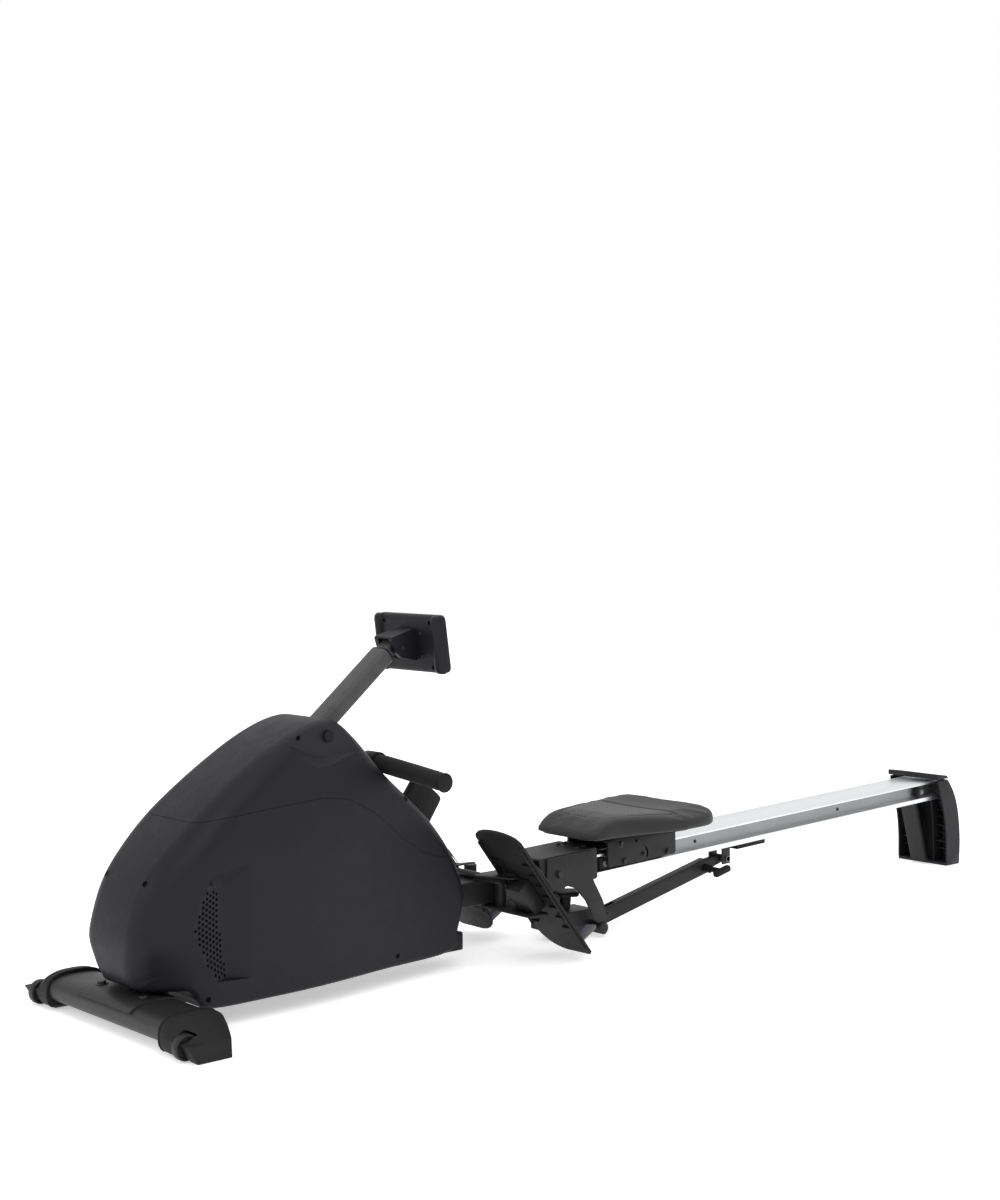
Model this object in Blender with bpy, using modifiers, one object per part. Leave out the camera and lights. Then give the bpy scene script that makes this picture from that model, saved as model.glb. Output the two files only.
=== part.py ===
"""Folding rowing machine: front unit with flywheel housing, sliding seat on an inclined rail.

Metres, +Z up.  X runs from the front stabiliser to the rear foot, Y across the machine.
The origin lies on the floor under the middle of the machine.
"""
import math

import bmesh
import bpy
from mathutils import Matrix, Vector

for item in list(bpy.data.objects):
    bpy.data.objects.remove(item, do_unlink=True)

# ---------------------------------------------------------------- driving dimensions
FRONT_X = -1.0405                  # front stabiliser's centreline; stations below count from it
GAP = 0.0003                     # clearance between neighbouring pieces

STAB_LENGTH = 0.49               # front stabiliser over its end caps
STAB_TUBE_END = 0.188            # half length of the bare tube
STAB_HALF_WIDTH = 0.050          # oval tube section
STAB_BOTTOM = 0.011
STAB_TOP = 0.056
SADDLE_LOW = 0.0455     # lower edge of the curved saddle plate
SADDLE_THICK = 0.0030
SADDLE_REACH = 0.080    # half its length along the tube

BEAM_HALF_WIDTH = 0.030
BEAM_LOW = 0.0975
BEAM_HIGH = 0.1425
BEAM_END = 0.800

HOUSING_HALF_WIDTH = 0.105
HOUSING_WALL = 0.003

PIVOT = (0.872, 0.135)           # rail fold axis: station, height
RAIL_INCLINE = math.radians(2.03)
RAIL_HALF_WIDTH = 0.045
RAIL_TOP = 0.0187                # above the fold axis, square to the rail
RAIL_BOTTOM = -0.0255
RAIL_START = 0.060               # along the rail from the fold axis
RAIL_END = 1.214

KNOB_FOOT = (0.936, 0.0523)      # star knob: station, height of its seat on the low beam
KNOB_RADIUS = 0.0285
KNOB_LOBE = 0.0035
KNOB_GRIP_LOW = 0.0795

PLATE_INNER = 0.050              # inner faces of the rail bracket's side plates
PLATE_THICK = 0.004

STRUT_FOOT = (1.043, 0.027)      # lower strut pivot: station, height
STRUT_HEAD = (1.380, 0.0975)     # upper strut pivot

PEDAL_HEEL = (0.824, 0.0235)     # heel end of the footplates' underside: station, height
PEDAL_TOE = (0.660, 0.2290)
PEDAL_INNER = 0.063
PEDAL_WIDTH = 0.115
PEDAL_THICK = 0.005
HEEL_CUP_HEIGHT = 0.060
PULL_KNOB_ALONG = 0.287   # lock knob, measured along the strut

WHEEL_RADIUS = 0.0205            # front transport wheels
WHEEL_X = -0.0380
WHEEL_INSET = 0.0290             # wheel's middle, in from the stabiliser's tip

HANDLE_AT = (0.480, 0.372)       # handle's middle at rest: station, height
HANDLE_HALF = 0.195
HANDLE_RADIUS = 0.0155

DISPLAY_PIVOT = (0.526, 0.568)   # console tilt axis

FLYWHEEL_AT = (0.240, 0.2640)
FLYWHEEL_RADIUS = 0.110
DRUM_AT = (0.430, 0.2250)
MAGNET_PIVOT = (0.128, 0.330)

CONSOLE_LEAN = math.radians(-7.0)

STOPS = (0.133, 1.150)           # bumpers, along the rail from the fold axis
STOP_HEIGHT = -0.0020
ROLLERS = (0.172, 0.292)         # seat rollers at the front of the stroke
ROLLER_RADIUS = 0.0110
ROLLER_HEIGHT = -0.0024
CARRIAGE_START = 0.128
CARRIAGE_END = 0.316

# ---------------------------------------------------------------- collections, looks
parts = bpy.data.collections.new("rowing_machine")
cutters = bpy.data.collections.new("cutters")
bpy.context.scene.collection.children.link(parts)
bpy.context.scene.collection.children.link(cutters)


def look(name, colour, roughness, metallic=0.0):
    """A Principled material."""
    made = bpy.data.materials.new(name)
    made.use_nodes = True
    shader = made.node_tree.nodes["Principled BSDF"]
    shader.inputs["Base Color"].default_value = (*colour, 1.0)
    shader.inputs["Roughness"].default_value = roughness
    shader.inputs["Metallic"].default_value = metallic
    return made


GREY_PAINT = look("grey_paint", (0.085, 0.085, 0.087), 0.45)
SHELL_PLASTIC = look("shell_plastic", (0.034, 0.034, 0.042), 0.50)
BLACK_PLASTIC = look("black_plastic", (0.018, 0.018, 0.020), 0.55)
CAP_PLASTIC = look("cap_plastic", (0.030, 0.030, 0.031), 0.60)
FOAM = look("foam", (0.014, 0.014, 0.015), 0.85)
ALUMINIUM = look("aluminium", (0.78, 0.79, 0.80), 0.30, 1.0)
STEEL = look("steel", (0.42, 0.42, 0.43), 0.35, 1.0)
IRON = look("cast_iron", (0.10, 0.10, 0.11), 0.55, 0.8)
RUBBER = look("rubber", (0.012, 0.012, 0.013), 0.80)
SEAT_FOAM = look("seat_foam", (0.045, 0.045, 0.048), 0.75)
WEBBING = look("webbing", (0.016, 0.016, 0.018), 0.90)
SCREEN_GLASS = look("screen_glass", (0.10, 0.12, 0.11), 0.10)

# ---------------------------------------------------------------- frames
machine = bpy.data.objects.new("machine", None)
machine.location = (FRONT_X, 0.0, 0.0)
parts.objects.link(machine)

rail_line = bpy.data.objects.new("rail_line", None)   # +X along the rail, on the fold axis
rail_line.location = (PIVOT[0], 0.0, PIVOT[1])
rail_line.rotation_euler = (0.0, -RAIL_INCLINE, 0.0)
rail_line.parent = machine
parts.objects.link(rail_line)


# ---------------------------------------------------------------- helpers
def place(name, mesh, surface, parent=machine, origin=(0.0, 0.0, 0.0), smooth=False):
    """Put a mesh in the model with its origin at a chosen point."""
    mesh.transform(Matrix.Translation(-Vector(origin)))
    made = bpy.data.objects.new(name, mesh)
    made.location = origin
    made.parent = parent
    mesh.materials.append(surface)
    if smooth:
        mesh.shade_smooth()
        mesh.set_sharp_from_angle(angle=math.radians(35))
    parts.objects.link(made)
    return made


def box_mesh(low, high):
    """A closed box between two corners."""
    shape = bmesh.new()
    bmesh.ops.create_cube(shape, size=1.0)
    for vert in shape.verts:
        vert.co = Vector([lo + (hi - lo) * (c + 0.5) for lo, hi, c in zip(low, high, vert.co)])
    mesh = bpy.data.meshes.new("box")
    shape.to_mesh(mesh)
    shape.free()
    return mesh


def rod_mesh(centre, axis, radius, length, sides=28, top_radius=None):
    """A cylinder or cone about a centre, along X, Y or Z."""
    turn = {"X": Matrix.Rotation(math.pi / 2, 4, "Y"), "Y": Matrix.Rotation(-math.pi / 2, 4, "X"),
            "Z": Matrix.Identity(4)}[axis]
    shape = bmesh.new()
    bmesh.ops.create_cone(shape, cap_ends=True, segments=sides, radius1=radius,
                          radius2=radius if top_radius is None else top_radius, depth=length,
                          matrix=Matrix.Translation(centre) @ turn)
    mesh = bpy.data.meshes.new("rod")
    shape.to_mesh(mesh)
    shape.free()
    return mesh


def rounded(points, radius, steps=4):
    """Outline with every corner turned into an arc; radius is one value or one per corner."""
    radii = radius if isinstance(radius, (list, tuple)) else [radius] * len(points)
    result = []
    for index, corner in enumerate(points):
        corner = Vector(corner)
        to_last = (Vector(points[index - 1]) - corner).normalized()
        to_next = (Vector(points[(index + 1) % len(points)]) - corner).normalized()
        half = to_last.angle(to_next) / 2
        if radii[index] <= 0.0 or half > math.radians(88):
            result.append(tuple(corner))
            continue
        reach = radii[index] / math.tan(half)
        centre = corner + (to_last + to_next).normalized() * (radii[index] / math.sin(half))
        first = corner + to_last * reach - centre
        last = corner + to_next * reach - centre
        for step in range(steps + 1):
            ray = first.slerp(last, step / steps)
            result.append(tuple(centre + ray.normalized() * radii[index]))
    return result


def flat_mesh(points, low, high, plane="XZ"):
    """A flat outline drawn as a 2D curve and extruded between two depths."""
    curve = bpy.data.curves.new("outline", "CURVE")
    curve.dimensions = "2D"
    curve.fill_mode = "BOTH"
    curve.extrude = (high - low) / 2
    line = curve.splines.new("POLY")
    line.points.add(len(points) - 1)
    for point, place_at in zip(line.points, points):
        point.co = (place_at[0], place_at[1], 0.0, 1.0)
    line.use_cyclic_u = True
    drawn = bpy.data.objects.new("outline", curve)
    cutters.objects.link(drawn)
    bpy.context.view_layer.update()
    mesh = bpy.data.meshes.new_from_object(drawn.evaluated_get(bpy.context.evaluated_depsgraph_get()))
    bpy.data.objects.remove(drawn, do_unlink=True)
    middle = (low + high) / 2
    turn = {"XY": Matrix.Translation((0, 0, middle)),
            "XZ": Matrix.Translation((0, middle, 0)) @ Matrix.Rotation(math.pi / 2, 4, "X"),
            "YZ": Matrix.Translation((middle, 0, 0)) @ Matrix.Rotation(math.pi / 2, 4, "Z")
            @ Matrix.Rotation(math.pi / 2, 4, "X")}[plane]
    mesh.transform(turn)
    shape = bmesh.new()
    shape.from_mesh(mesh)
    bmesh.ops.remove_doubles(shape, verts=shape.verts, dist=0.00001)
    bmesh.ops.recalc_face_normals(shape, faces=shape.faces)
    shape.to_mesh(mesh)
    shape.free()
    return mesh


def tube_mesh(points, radius, sides=5):
    """A round bar along a line of points, with filled ends."""
    curve = bpy.data.curves.new("bar", "CURVE")
    curve.dimensions = "3D"
    curve.bevel_depth = radius
    curve.bevel_resolution = sides
    curve.use_fill_caps = True
    line = curve.splines.new("POLY")
    line.points.add(len(points) - 1)
    for point, place_at in zip(line.points, points):
        point.co = (*place_at, 1.0)
    drawn = bpy.data.objects.new("bar", curve)
    cutters.objects.link(drawn)
    bpy.context.view_layer.update()
    mesh = bpy.data.meshes.new_from_object(drawn.evaluated_get(bpy.context.evaluated_depsgraph_get()))
    bpy.data.objects.remove(drawn, do_unlink=True)
    shape = bmesh.new()
    shape.from_mesh(mesh)
    bmesh.ops.remove_doubles(shape, verts=shape.verts, dist=0.00001)
    bmesh.ops.recalc_face_normals(shape, faces=shape.faces)
    shape.to_mesh(mesh)
    shape.free()
    return mesh


def loft_mesh(rings, first_tip=None, last_tip=None):
    """Skin over closed rings of equal count; the ends are flat or run to a tip point."""
    shape = bmesh.new()
    loops = [[shape.verts.new(point) for point in ring] for ring in rings]
    count = len(rings[0])
    for here, there in zip(loops, loops[1:]):
        for index in range(count):
            after = (index + 1) % count
            shape.faces.new((here[index], here[after], there[after], there[index]))
    for loop, tip in ((loops[0], first_tip), (loops[-1], last_tip)):
        if tip is None:
            shape.faces.new(loop)
            continue
        point = shape.verts.new(tip)
        for index in range(count):
            shape.faces.new((loop[index], loop[(index + 1) % count], point))
    bmesh.ops.recalc_face_normals(shape, faces=shape.faces)
    mesh = bpy.data.meshes.new("loft")
    shape.to_mesh(mesh)
    shape.free()
    return mesh


def turned_mesh(profile, centre, axis="Y", steps=40):
    """A profile of (radius, height) pairs turned about an axis with a Screw modifier."""
    mesh = bpy.data.meshes.new("profile")
    points = [(radius, 0.0, height) for radius, height in profile]
    mesh.from_pydata(points, [(i, i + 1) for i in range(len(points) - 1)], [])
    drawn = bpy.data.objects.new("profile", mesh)
    cutters.objects.link(drawn)
    screw = drawn.modifiers.new("Screw", "SCREW")
    screw.steps = steps
    screw.render_steps = steps
    screw.use_merge_vertices = True
    screw.merge_threshold = 0.00001
    bpy.context.view_layer.update()
    made = bpy.data.meshes.new_from_object(drawn.evaluated_get(bpy.context.evaluated_depsgraph_get()))
    bpy.data.objects.remove(drawn, do_unlink=True)
    turn = {"Y": Matrix.Rotation(-math.pi / 2, 4, "X"), "Z": Matrix.Identity(4),
            "X": Matrix.Rotation(math.pi / 2, 4, "Y")}[axis]
    made.transform(Matrix.Translation(centre) @ turn)
    shape = bmesh.new()
    shape.from_mesh(made)
    bmesh.ops.remove_doubles(shape, verts=shape.verts, dist=0.00001)
    bmesh.ops.recalc_face_normals(shape, faces=shape.faces)
    shape.to_mesh(made)
    shape.free()
    return made


def guide(target, mesh):
    """A cutter or addition, kept in the cutters' collection in its target's frame."""
    made = bpy.data.objects.new(target.name + "_guide", mesh)
    made.parent = target.parent
    made.hide_render = True
    made.display_type = "WIRE"
    cutters.objects.link(made)
    return made


def combine(target, mesh, operation):
    """Cut, join or intersect a piece with another mesh."""
    modifier = target.modifiers.new(operation.title(), "BOOLEAN")
    modifier.operation = operation
    modifier.solver = "EXACT"
    modifier.object = guide(target, mesh)
    return target


def cut(target, mesh):
    return combine(target, mesh, "DIFFERENCE")


def join(target, mesh):
    return combine(target, mesh, "UNION")


def soften(target, width, segments=2):
    """Round a piece's sharp edges."""
    bevel = target.modifiers.new("Bevel", "BEVEL")
    bevel.width = width
    bevel.segments = segments
    bevel.limit_method = "ANGLE"
    bevel.angle_limit = math.radians(40)
    return target


def oval(half_width, low, high, grow=0.0, count=28):
    """Points (x, z) round an oval with flattened top and bottom."""
    middle = (low + high) / 2
    tall = (high - low) / 2 + grow
    wide = half_width + grow
    points = []
    for index in range(count):
        angle = 2 * math.pi * index / count
        c, s = math.cos(angle), math.sin(angle)
        points.append((wide * math.copysign(abs(c) ** 0.75, c), middle + tall * math.copysign(abs(s) ** 0.75, s)))
    return points


SIDES = (("left", -1), ("right", 1))     # left is the -Y side


# ---------------------------------------------------------------- front stabiliser
def front_stabiliser():
    ring = oval(STAB_HALF_WIDTH, STAB_BOTTOM, STAB_TOP)
    rings = [[(x, y, z) for x, z in ring] for y in (-STAB_TUBE_END, STAB_TUBE_END)]
    tube = place("front_stabiliser_tube", loft_mesh(rings), GREY_PAINT, smooth=True)
    bore = oval(STAB_HALF_WIDTH, STAB_BOTTOM, STAB_TOP, grow=-0.0025)
    cut(tube, loft_mesh([[(x, y, z) for x, z in bore] for y in (-0.3, 0.3)]))


def end_cap(name, side):
    """Wedge-shaped cap over the tube's end, with a pocket for the transport wheel."""
    seam = STAB_TUBE_END - 0.022
    tip = STAB_LENGTH / 2
    count = 28
    sleeve = oval(STAB_HALF_WIDTH, 0.0010, STAB_TOP + 0.0015, grow=0.0035, count=count)
    stations = []
    for y, lift, top, front, rear in ((seam, 0.0075, 0.0, 0.0, 0.0), (seam + 0.012, 0.0, 0.002, 0.001, 0.002),
                                      (seam + 0.040, 0.0, 0.013, 0.003, 0.010), (tip, 0.0, 0.027, 0.000, 0.0276)):
        ring = []
        for x, z in sleeve:
            low = max(z, lift)
            high = low - top * max(0.0, (low - 0.020) / 0.040)
            wide = x - rear * (x / STAB_HALF_WIDTH) if x > 0 else x + front * (x / STAB_HALF_WIDTH)
            ring.append((wide, side * y, high))
        stations.append(ring)
    cap = place(name, loft_mesh(stations), CAP_PLASTIC, smooth=True)
    socket = oval(STAB_HALF_WIDTH, STAB_BOTTOM, STAB_TOP, grow=GAP)
    far = STAB_TUBE_END + GAP
    cut(cap, loft_mesh([[(x, side * y, z) for x, z in socket] for y in (seam - 0.01, far)]))
    wheel_y = side * (tip - WHEEL_INSET)
    cut(cap, rod_mesh((WHEEL_X, wheel_y, WHEEL_RADIUS + 0.001), "Y", WHEEL_RADIUS + 0.003, 0.018, sides=32))


def transport_wheel(name, side):
    """Small roller in the end cap's front, just touching the floor line."""
    half = 0.0075
    radius = WHEEL_RADIUS - 0.0005
    profile = [(0.0, half), (0.010, half), (0.012, half - 0.002), (radius - 0.003, half - 0.002),
               (radius, half - 0.003), (radius, -half + 0.003), (radius - 0.003, -half + 0.002),
               (0.012, -half + 0.002), (0.010, -half), (0.0, -half)]
    centre = (WHEEL_X, side * (STAB_LENGTH / 2 - WHEEL_INSET), WHEEL_RADIUS + 0.001)
    place(name, turned_mesh(profile, centre, steps=32), RUBBER, origin=centre, smooth=True)


# ---------------------------------------------------------------- welded frame
def main_beam():
    """Rectangular beam with a front post coped to the saddle plate."""
    beam = place("main_beam", box_mesh((0.010, -BEAM_HALF_WIDTH, BEAM_LOW), (BEAM_END, BEAM_HALF_WIDTH, BEAM_HIGH)),
                 GREY_PAINT)
    join(beam, box_mesh((0.0105, -0.0295, SADDLE_LOW), (0.052, 0.0295, 0.120)))
    ring = oval(STAB_HALF_WIDTH, STAB_BOTTOM, STAB_TOP, grow=SADDLE_THICK + GAP)
    cut(beam, loft_mesh([[(x, y, z) for x, z in ring] for y in (-0.2, 0.2)]))
    cut(beam, box_mesh((0.30, -0.0275, BEAM_LOW + 0.0025), (0.90, 0.0275, BEAM_HIGH - 0.0025)))
    return beam


def saddle_pad():
    """Curved plate that follows the oval tube and carries the beam's coped post."""
    outer = oval(STAB_HALF_WIDTH, STAB_BOTTOM, STAB_TOP, grow=SADDLE_THICK)
    inner = oval(STAB_HALF_WIDTH, STAB_BOTTOM, STAB_TOP, grow=GAP)
    shape = loft_mesh([[(x, y, z) for x, z in outer] for y in (-SADDLE_REACH, SADDLE_REACH)])
    pad = place("stabiliser_saddle_pad", shape, GREY_PAINT)
    cut(pad, loft_mesh([[(x, y, z) for x, z in inner] for y in (-0.2, 0.2)]))
    cut(pad, box_mesh((-0.2, -0.2, -0.1), (0.2, 0.2, SADDLE_LOW)))


def base_beam():
    """Low beam behind the footrest with its post, the tie under the main beam, the floor bar and the tongue."""
    start, tie_top = 0.876, 0.0885
    base = place("base_beam", box_mesh((start, -0.0285, 0.020), (start + 0.024, 0.0285, tie_top)), GREY_PAINT)
    join(base, box_mesh((0.770, -0.0280, tie_top - 0.0075), (start + 0.023, 0.0280, tie_top - 0.0004)))
    join(base, box_mesh((0.7705, -0.0275, tie_top - 0.0070), (0.798, 0.0275, BEAM_LOW - GAP)))
    join(base, box_mesh((start + 0.0005, -0.028, 0.0205), (0.990, 0.028, 0.052)))
    bar = (0.987, 0.0, 0.018)
    join(base, rod_mesh(bar, "Y", 0.0115, 0.118, sides=24))
    tongue = rounded([(0.980, 0.012), (STRUT_FOOT[0] + 0.0095, STRUT_FOOT[1] - 0.0095),
                      (STRUT_FOOT[0] + 0.0095, STRUT_FOOT[1] + 0.0085), (0.980, 0.026)], [0, 0.0085, 0.0085, 0])
    join(base, flat_mesh(tongue, -0.004, 0.004))
    cut(base, rod_mesh((STRUT_FOOT[0], 0.0, STRUT_FOOT[1]), "Y", 0.0045, 0.05, sides=24))


def bracket_plate(name, side):
    """Boomerang side plate: carries the fold axis and reaches down to the floor bar."""
    outer = [(0.842, 0.1660), (0.842, 0.126), (0.857, 0.105), (0.880, 0.1035), (0.892, 0.111), (0.918, 0.102),
             (0.944, 0.075), (0.966, 0.036), (0.975, 0.0305), (1.001, 0.0305), (0.988, 0.070), (0.962, 0.113),
             (0.962, 0.1700)]
    radii = [0.003, 0.004, 0.010, 0.004, 0.010, 0.03, 0.05, 0.004, 0.002, 0.002, 0.08, 0.010, 0.003]
    near = side * PLATE_INNER
    far = side * (PLATE_INNER + PLATE_THICK)
    plate = place(name, flat_mesh(rounded(outer, radii), min(near, far), max(near, far)), GREY_PAINT)
    cut(plate, rod_mesh((PIVOT[0], near, PIVOT[1]), "Y", 0.0055, 0.03, sides=24))


def star_knob():
    """Star grip on an upright clamp screw that stands on the low beam."""
    lobes, count = 5, 60
    foot = KNOB_FOOT[1]
    points = []
    for index in range(count):
        angle = 2 * math.pi * index / count
        reach = KNOB_RADIUS + KNOB_LOBE * math.cos(lobes * angle)
        points.append((KNOB_FOOT[0] + reach * math.cos(angle), reach * math.sin(angle)))
    grip = flat_mesh(points, KNOB_GRIP_LOW, KNOB_GRIP_LOW + 0.0090, plane="XY")
    hub = rod_mesh((KNOB_FOOT[0], 0.0, foot + 0.0160), "Z", 0.0125, 0.0315, sides=24, top_radius=0.0145)
    knob = place("star_knob", grip, BLACK_PLASTIC, origin=(KNOB_FOOT[0], 0.0, foot))
    join(knob, hub)


# ---------------------------------------------------------------- footrest
def pedal_frame():
    """Unit vectors up the footplate and out of its tread."""
    up = Vector((PEDAL_TOE[0] - PEDAL_HEEL[0], 0.0, PEDAL_TOE[1] - PEDAL_HEEL[1])).normalized()
    out = Vector((up.z, 0.0, -up.x))
    return up, out


def on_pedal(mesh, side):
    """Move a mesh drawn as (across, up, out) onto the footplate's plane."""
    up, out = pedal_frame()
    start = Vector((PEDAL_HEEL[0], side * PEDAL_INNER, PEDAL_HEEL[1]))
    across = Vector((0.0, side, 0.0))
    turn = Matrix((across, up, out)).transposed().to_4x4()
    mesh.transform(Matrix.Translation(start) @ turn)
    if side < 0:
        mesh.flip_normals()
    shape = bmesh.new()
    shape.from_mesh(mesh)
    bmesh.ops.recalc_face_normals(shape, faces=shape.faces)
    shape.to_mesh(mesh)
    shape.free()
    return mesh


def footplate(name, side):
    """Flat plate with a rounded toe, strap slots and a low rim on its outer edge."""
    w = PEDAL_WIDTH
    toe = [(w * (0.5 + 0.5 * math.cos(a)), 0.264 + 0.022 * math.sin(a))
           for a in [math.pi * i / 10 for i in range(11)]]
    shape = [(0.006, -0.014), (w - 0.006, -0.014), (w, -0.004)] + toe + [(0.0, -0.004)]
    plate = place(name, on_pedal(flat_mesh(shape, 0.0, PEDAL_THICK, plane="XY"), side), BLACK_PLASTIC)
    for across in (0.016, w - 0.016):
        for along in (0.070, 0.162):
            slot = box_mesh((across - 0.0025, along, -0.01), (across + 0.0025, along + 0.026, 0.02))
            cut(plate, on_pedal(slot, side))
    return plate


def heel_cup(name, side):
    """Sliding heel stop: a wall that wraps round the heel, on a thin shoe."""
    w = PEDAL_WIDTH
    base = PEDAL_THICK + GAP
    shoe = rounded([(0.024, 0.0), (w - 0.024, 0.0), (w - 0.024, 0.060), (0.024, 0.060)], 0.004)
    cup = place(name, on_pedal(flat_mesh(shoe, base, base + 0.003, plane="XY"), side), BLACK_PLASTIC)
    outer = [(0.5 * w + 0.049 * math.cos(a), 0.030 + 0.040 * math.sin(a)) for a in
             [math.pi + math.pi * i / 12 for i in range(13)]]
    inner = [(0.5 * w + 0.046 * math.cos(a), 0.030 + 0.037 * math.sin(a)) for a in
             [2 * math.pi - math.pi * i / 12 for i in range(13)]]
    join(cup, on_pedal(flat_mesh(outer + inner, base + 0.001, base + HEEL_CUP_HEIGHT, plane="XY"), side))


def foot_strap(name, side):
    """Webbing band lying low over the footplate between its slots."""
    w = PEDAL_WIDTH
    low, high, thick = 0.164, 0.186, 0.0015
    count = 16
    arc = [(w * i / count, 0.0065 + 0.020 * math.sin(math.pi * i / count)) for i in range(count + 1)]
    line = arc + [(x, z + thick) for x, z in reversed(arc)]
    ring = [[(x, along, z) for x, z in line] for along in (low, high)]
    place(name, on_pedal(loft_mesh(ring), side), WEBBING, smooth=True)


def footrest_frame():
    """Welded footrest carrier: cross plate, tie rod, and a post, an upper plate and a channel per footplate."""
    cross = rounded([(0.712, -0.150), (0.758, -0.150), (0.758, 0.150), (0.712, 0.150)], 0.004)
    frame = place("footrest_frame", flat_mesh(cross, 0.0905, 0.0945, plane="XY"), GREY_PAINT)
    join(frame, rod_mesh((0.700, 0.0, 0.1500), "Y", 0.0070, 0.180, sides=20))
    for side in (-1, 1):
        upper = [(0.668, 0.046), (0.754, 0.046), (0.754, 0.052), (0.722, 0.0624), (0.711, 0.0618), (0.711, 0.118),
                 (0.699, 0.118)]
        join(frame, flat_mesh([(x, side * y) for x, y in upper], 0.1560, 0.1590, plane="XY"))
        join(frame, rod_mesh((0.7385, side * 0.0422, 0.1245), "Z", 0.0117, 0.0660, sides=24))
        channel = box_mesh((0.036, 0.074, -0.030), (0.076, 0.168, -GAP))
        join(frame, on_pedal(channel, side))


# ---------------------------------------------------------------- housing
HOUSING_OUTLINE = [    # side view, each point with the edge rounding there
    (-0.036, 0.105, 0.036), (-0.038, 0.150, 0.040), (-0.015, 0.222, 0.042), (0.031, 0.280, 0.042),
    (0.102, 0.343, 0.040), (0.179, 0.398, 0.036), (0.249, 0.437, 0.030), (0.309, 0.459, 0.026),
    (0.352, 0.458, 0.024), (0.396, 0.425, 0.022), (0.455, 0.364, 0.022), (0.512, 0.314, 0.022),
    (0.562, 0.268, 0.022), (0.610, 0.205, 0.020), (0.638, 0.130, 0.018), (0.637, 0.070, 0.014),
    (0.630, 0.034, 0.008), (0.420, 0.033, 0.007), (0.220, 0.032, 0.007), (0.085, 0.033, 0.008),
    (0.060, 0.048, 0.008), (0.044, 0.070, 0.010), (-0.005, 0.072, 0.014), (-0.024, 0.082, 0.026)]
HOUSING_MIDDLE = (0.300, 0.230)
SEAM = [(-0.10, 0.300), (0.030, 0.312), (0.110, 0.325), (0.210, 0.333), (0.300, 0.338), (0.360, 0.330),
        (0.420, 0.300), (0.480, 0.253), (0.530, 0.220), (0.575, 0.205), (0.70, 0.200)]


def smooth_loop(points, per_span=2):
    """Closed Catmull-Rom curve through the points."""
    count = len(points)
    result = []
    for i in range(count):
        a, b, c, d = (Vector(points[(i + k - 1) % count]) for k in range(4))
        for step in range(per_span):
            t = step / per_span
            result.append(0.5 * ((2 * b) + (c - a) * t + (2 * a - 5 * b + 4 * c - d) * t ** 2
                                 + (3 * b - a - 3 * c + d) * t ** 3))
    return result


def ease(value, low, high):
    t = min(1.0, max(0.0, (value - low) / (high - low)))
    return t * t * (3 - 2 * t)


def housing_half_width(x, z):
    """The housing narrows towards its nose, its tail and its top."""
    width = HOUSING_HALF_WIDTH - 0.018 * (1 - ease(x, -0.04, 0.10)) - 0.040 * ease(x, 0.22, 0.64)
    return width - 0.020 * ease(z, 0.24, 0.47)


def housing_mesh(inset):
    """Rounded body over the side outline; inset moves every wall inwards."""
    middle = Vector(HOUSING_MIDDLE)
    loop = smooth_loop(HOUSING_OUTLINE)
    count = len(loop)
    inward = []
    for index in range(count):
        run = (loop[(index + 1) % count] - loop[index - 1]).to_2d().normalized()
        inward.append(Vector((run.y, -run.x)))

    def ring(side, angle, shrink=0.0):
        points = []
        for point, normal in zip(loop, inward):
            edge = max(0.002, point.z - inset)
            moved = point.to_2d() + normal * (inset + edge * (1 - math.cos(angle)))
            moved = moved.lerp(middle, shrink)
            width = housing_half_width(moved.x, moved.y) - inset - edge * (1 - math.sin(angle))
            points.append((moved.x, side * width, moved.y))
        return points

    angles = [math.pi / 2 * step / 5 for step in range(6)]
    rings = [ring(-1, math.pi / 2, 0.5)] + [ring(-1, angle) for angle in reversed(angles)]
    rings += [ring(1, angle) for angle in angles] + [ring(1, math.pi / 2, 0.5)]
    tips = [(middle.x, side * (housing_half_width(*HOUSING_MIDDLE) - inset), middle.y) for side in (-1, 1)]
    return loft_mesh(rings, first_tip=tips[0], last_tip=tips[1])


def housing_shell(name, side, upper):
    """One quarter of the moulded cover."""
    shell = place(name, housing_mesh(0.0), SHELL_PLASTIC, smooth=True)
    cut(shell, housing_mesh(HOUSING_WALL))
    if upper:
        region = [(x, z + GAP) for x, z in SEAM] + [(0.70, 0.60), (-0.10, 0.60)]
    else:
        region = [(x, z - GAP) for x, z in SEAM] + [(0.70, -0.05), (-0.10, -0.05)]
    inner, outer = side * GAP, side * 0.2
    combine(shell, flat_mesh(region, min(inner, outer), max(inner, outer)), "INTERSECT")
    if upper:
        cut(shell, mast_mesh(0.0015, -0.05, 0.35))
        cut(shell, nozzle_mesh(0.0405, -0.05, 0.12))
    else:
        cut(shell, box_mesh((-0.08, -0.0325, 0.055), (0.064, 0.0325, 0.095)))
        cut(shell, box_mesh((0.55, -0.0315, BEAM_LOW - 0.0015), (0.70, 0.0315, BEAM_HIGH + 0.0015)))


# ---------------------------------------------------------------- mast and nozzle
MAST_FOOT = Vector((0.318, 0.0, 0.406))
MAST_HEAD = Vector((DISPLAY_PIVOT[0] - 0.005, 0.0, DISPLAY_PIVOT[1] + 0.006))
NOZZLE_AT = Vector((0.560, 0.0, 0.262))
NOZZLE_OUT = Vector((0.590, 0.0, 0.807))


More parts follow.
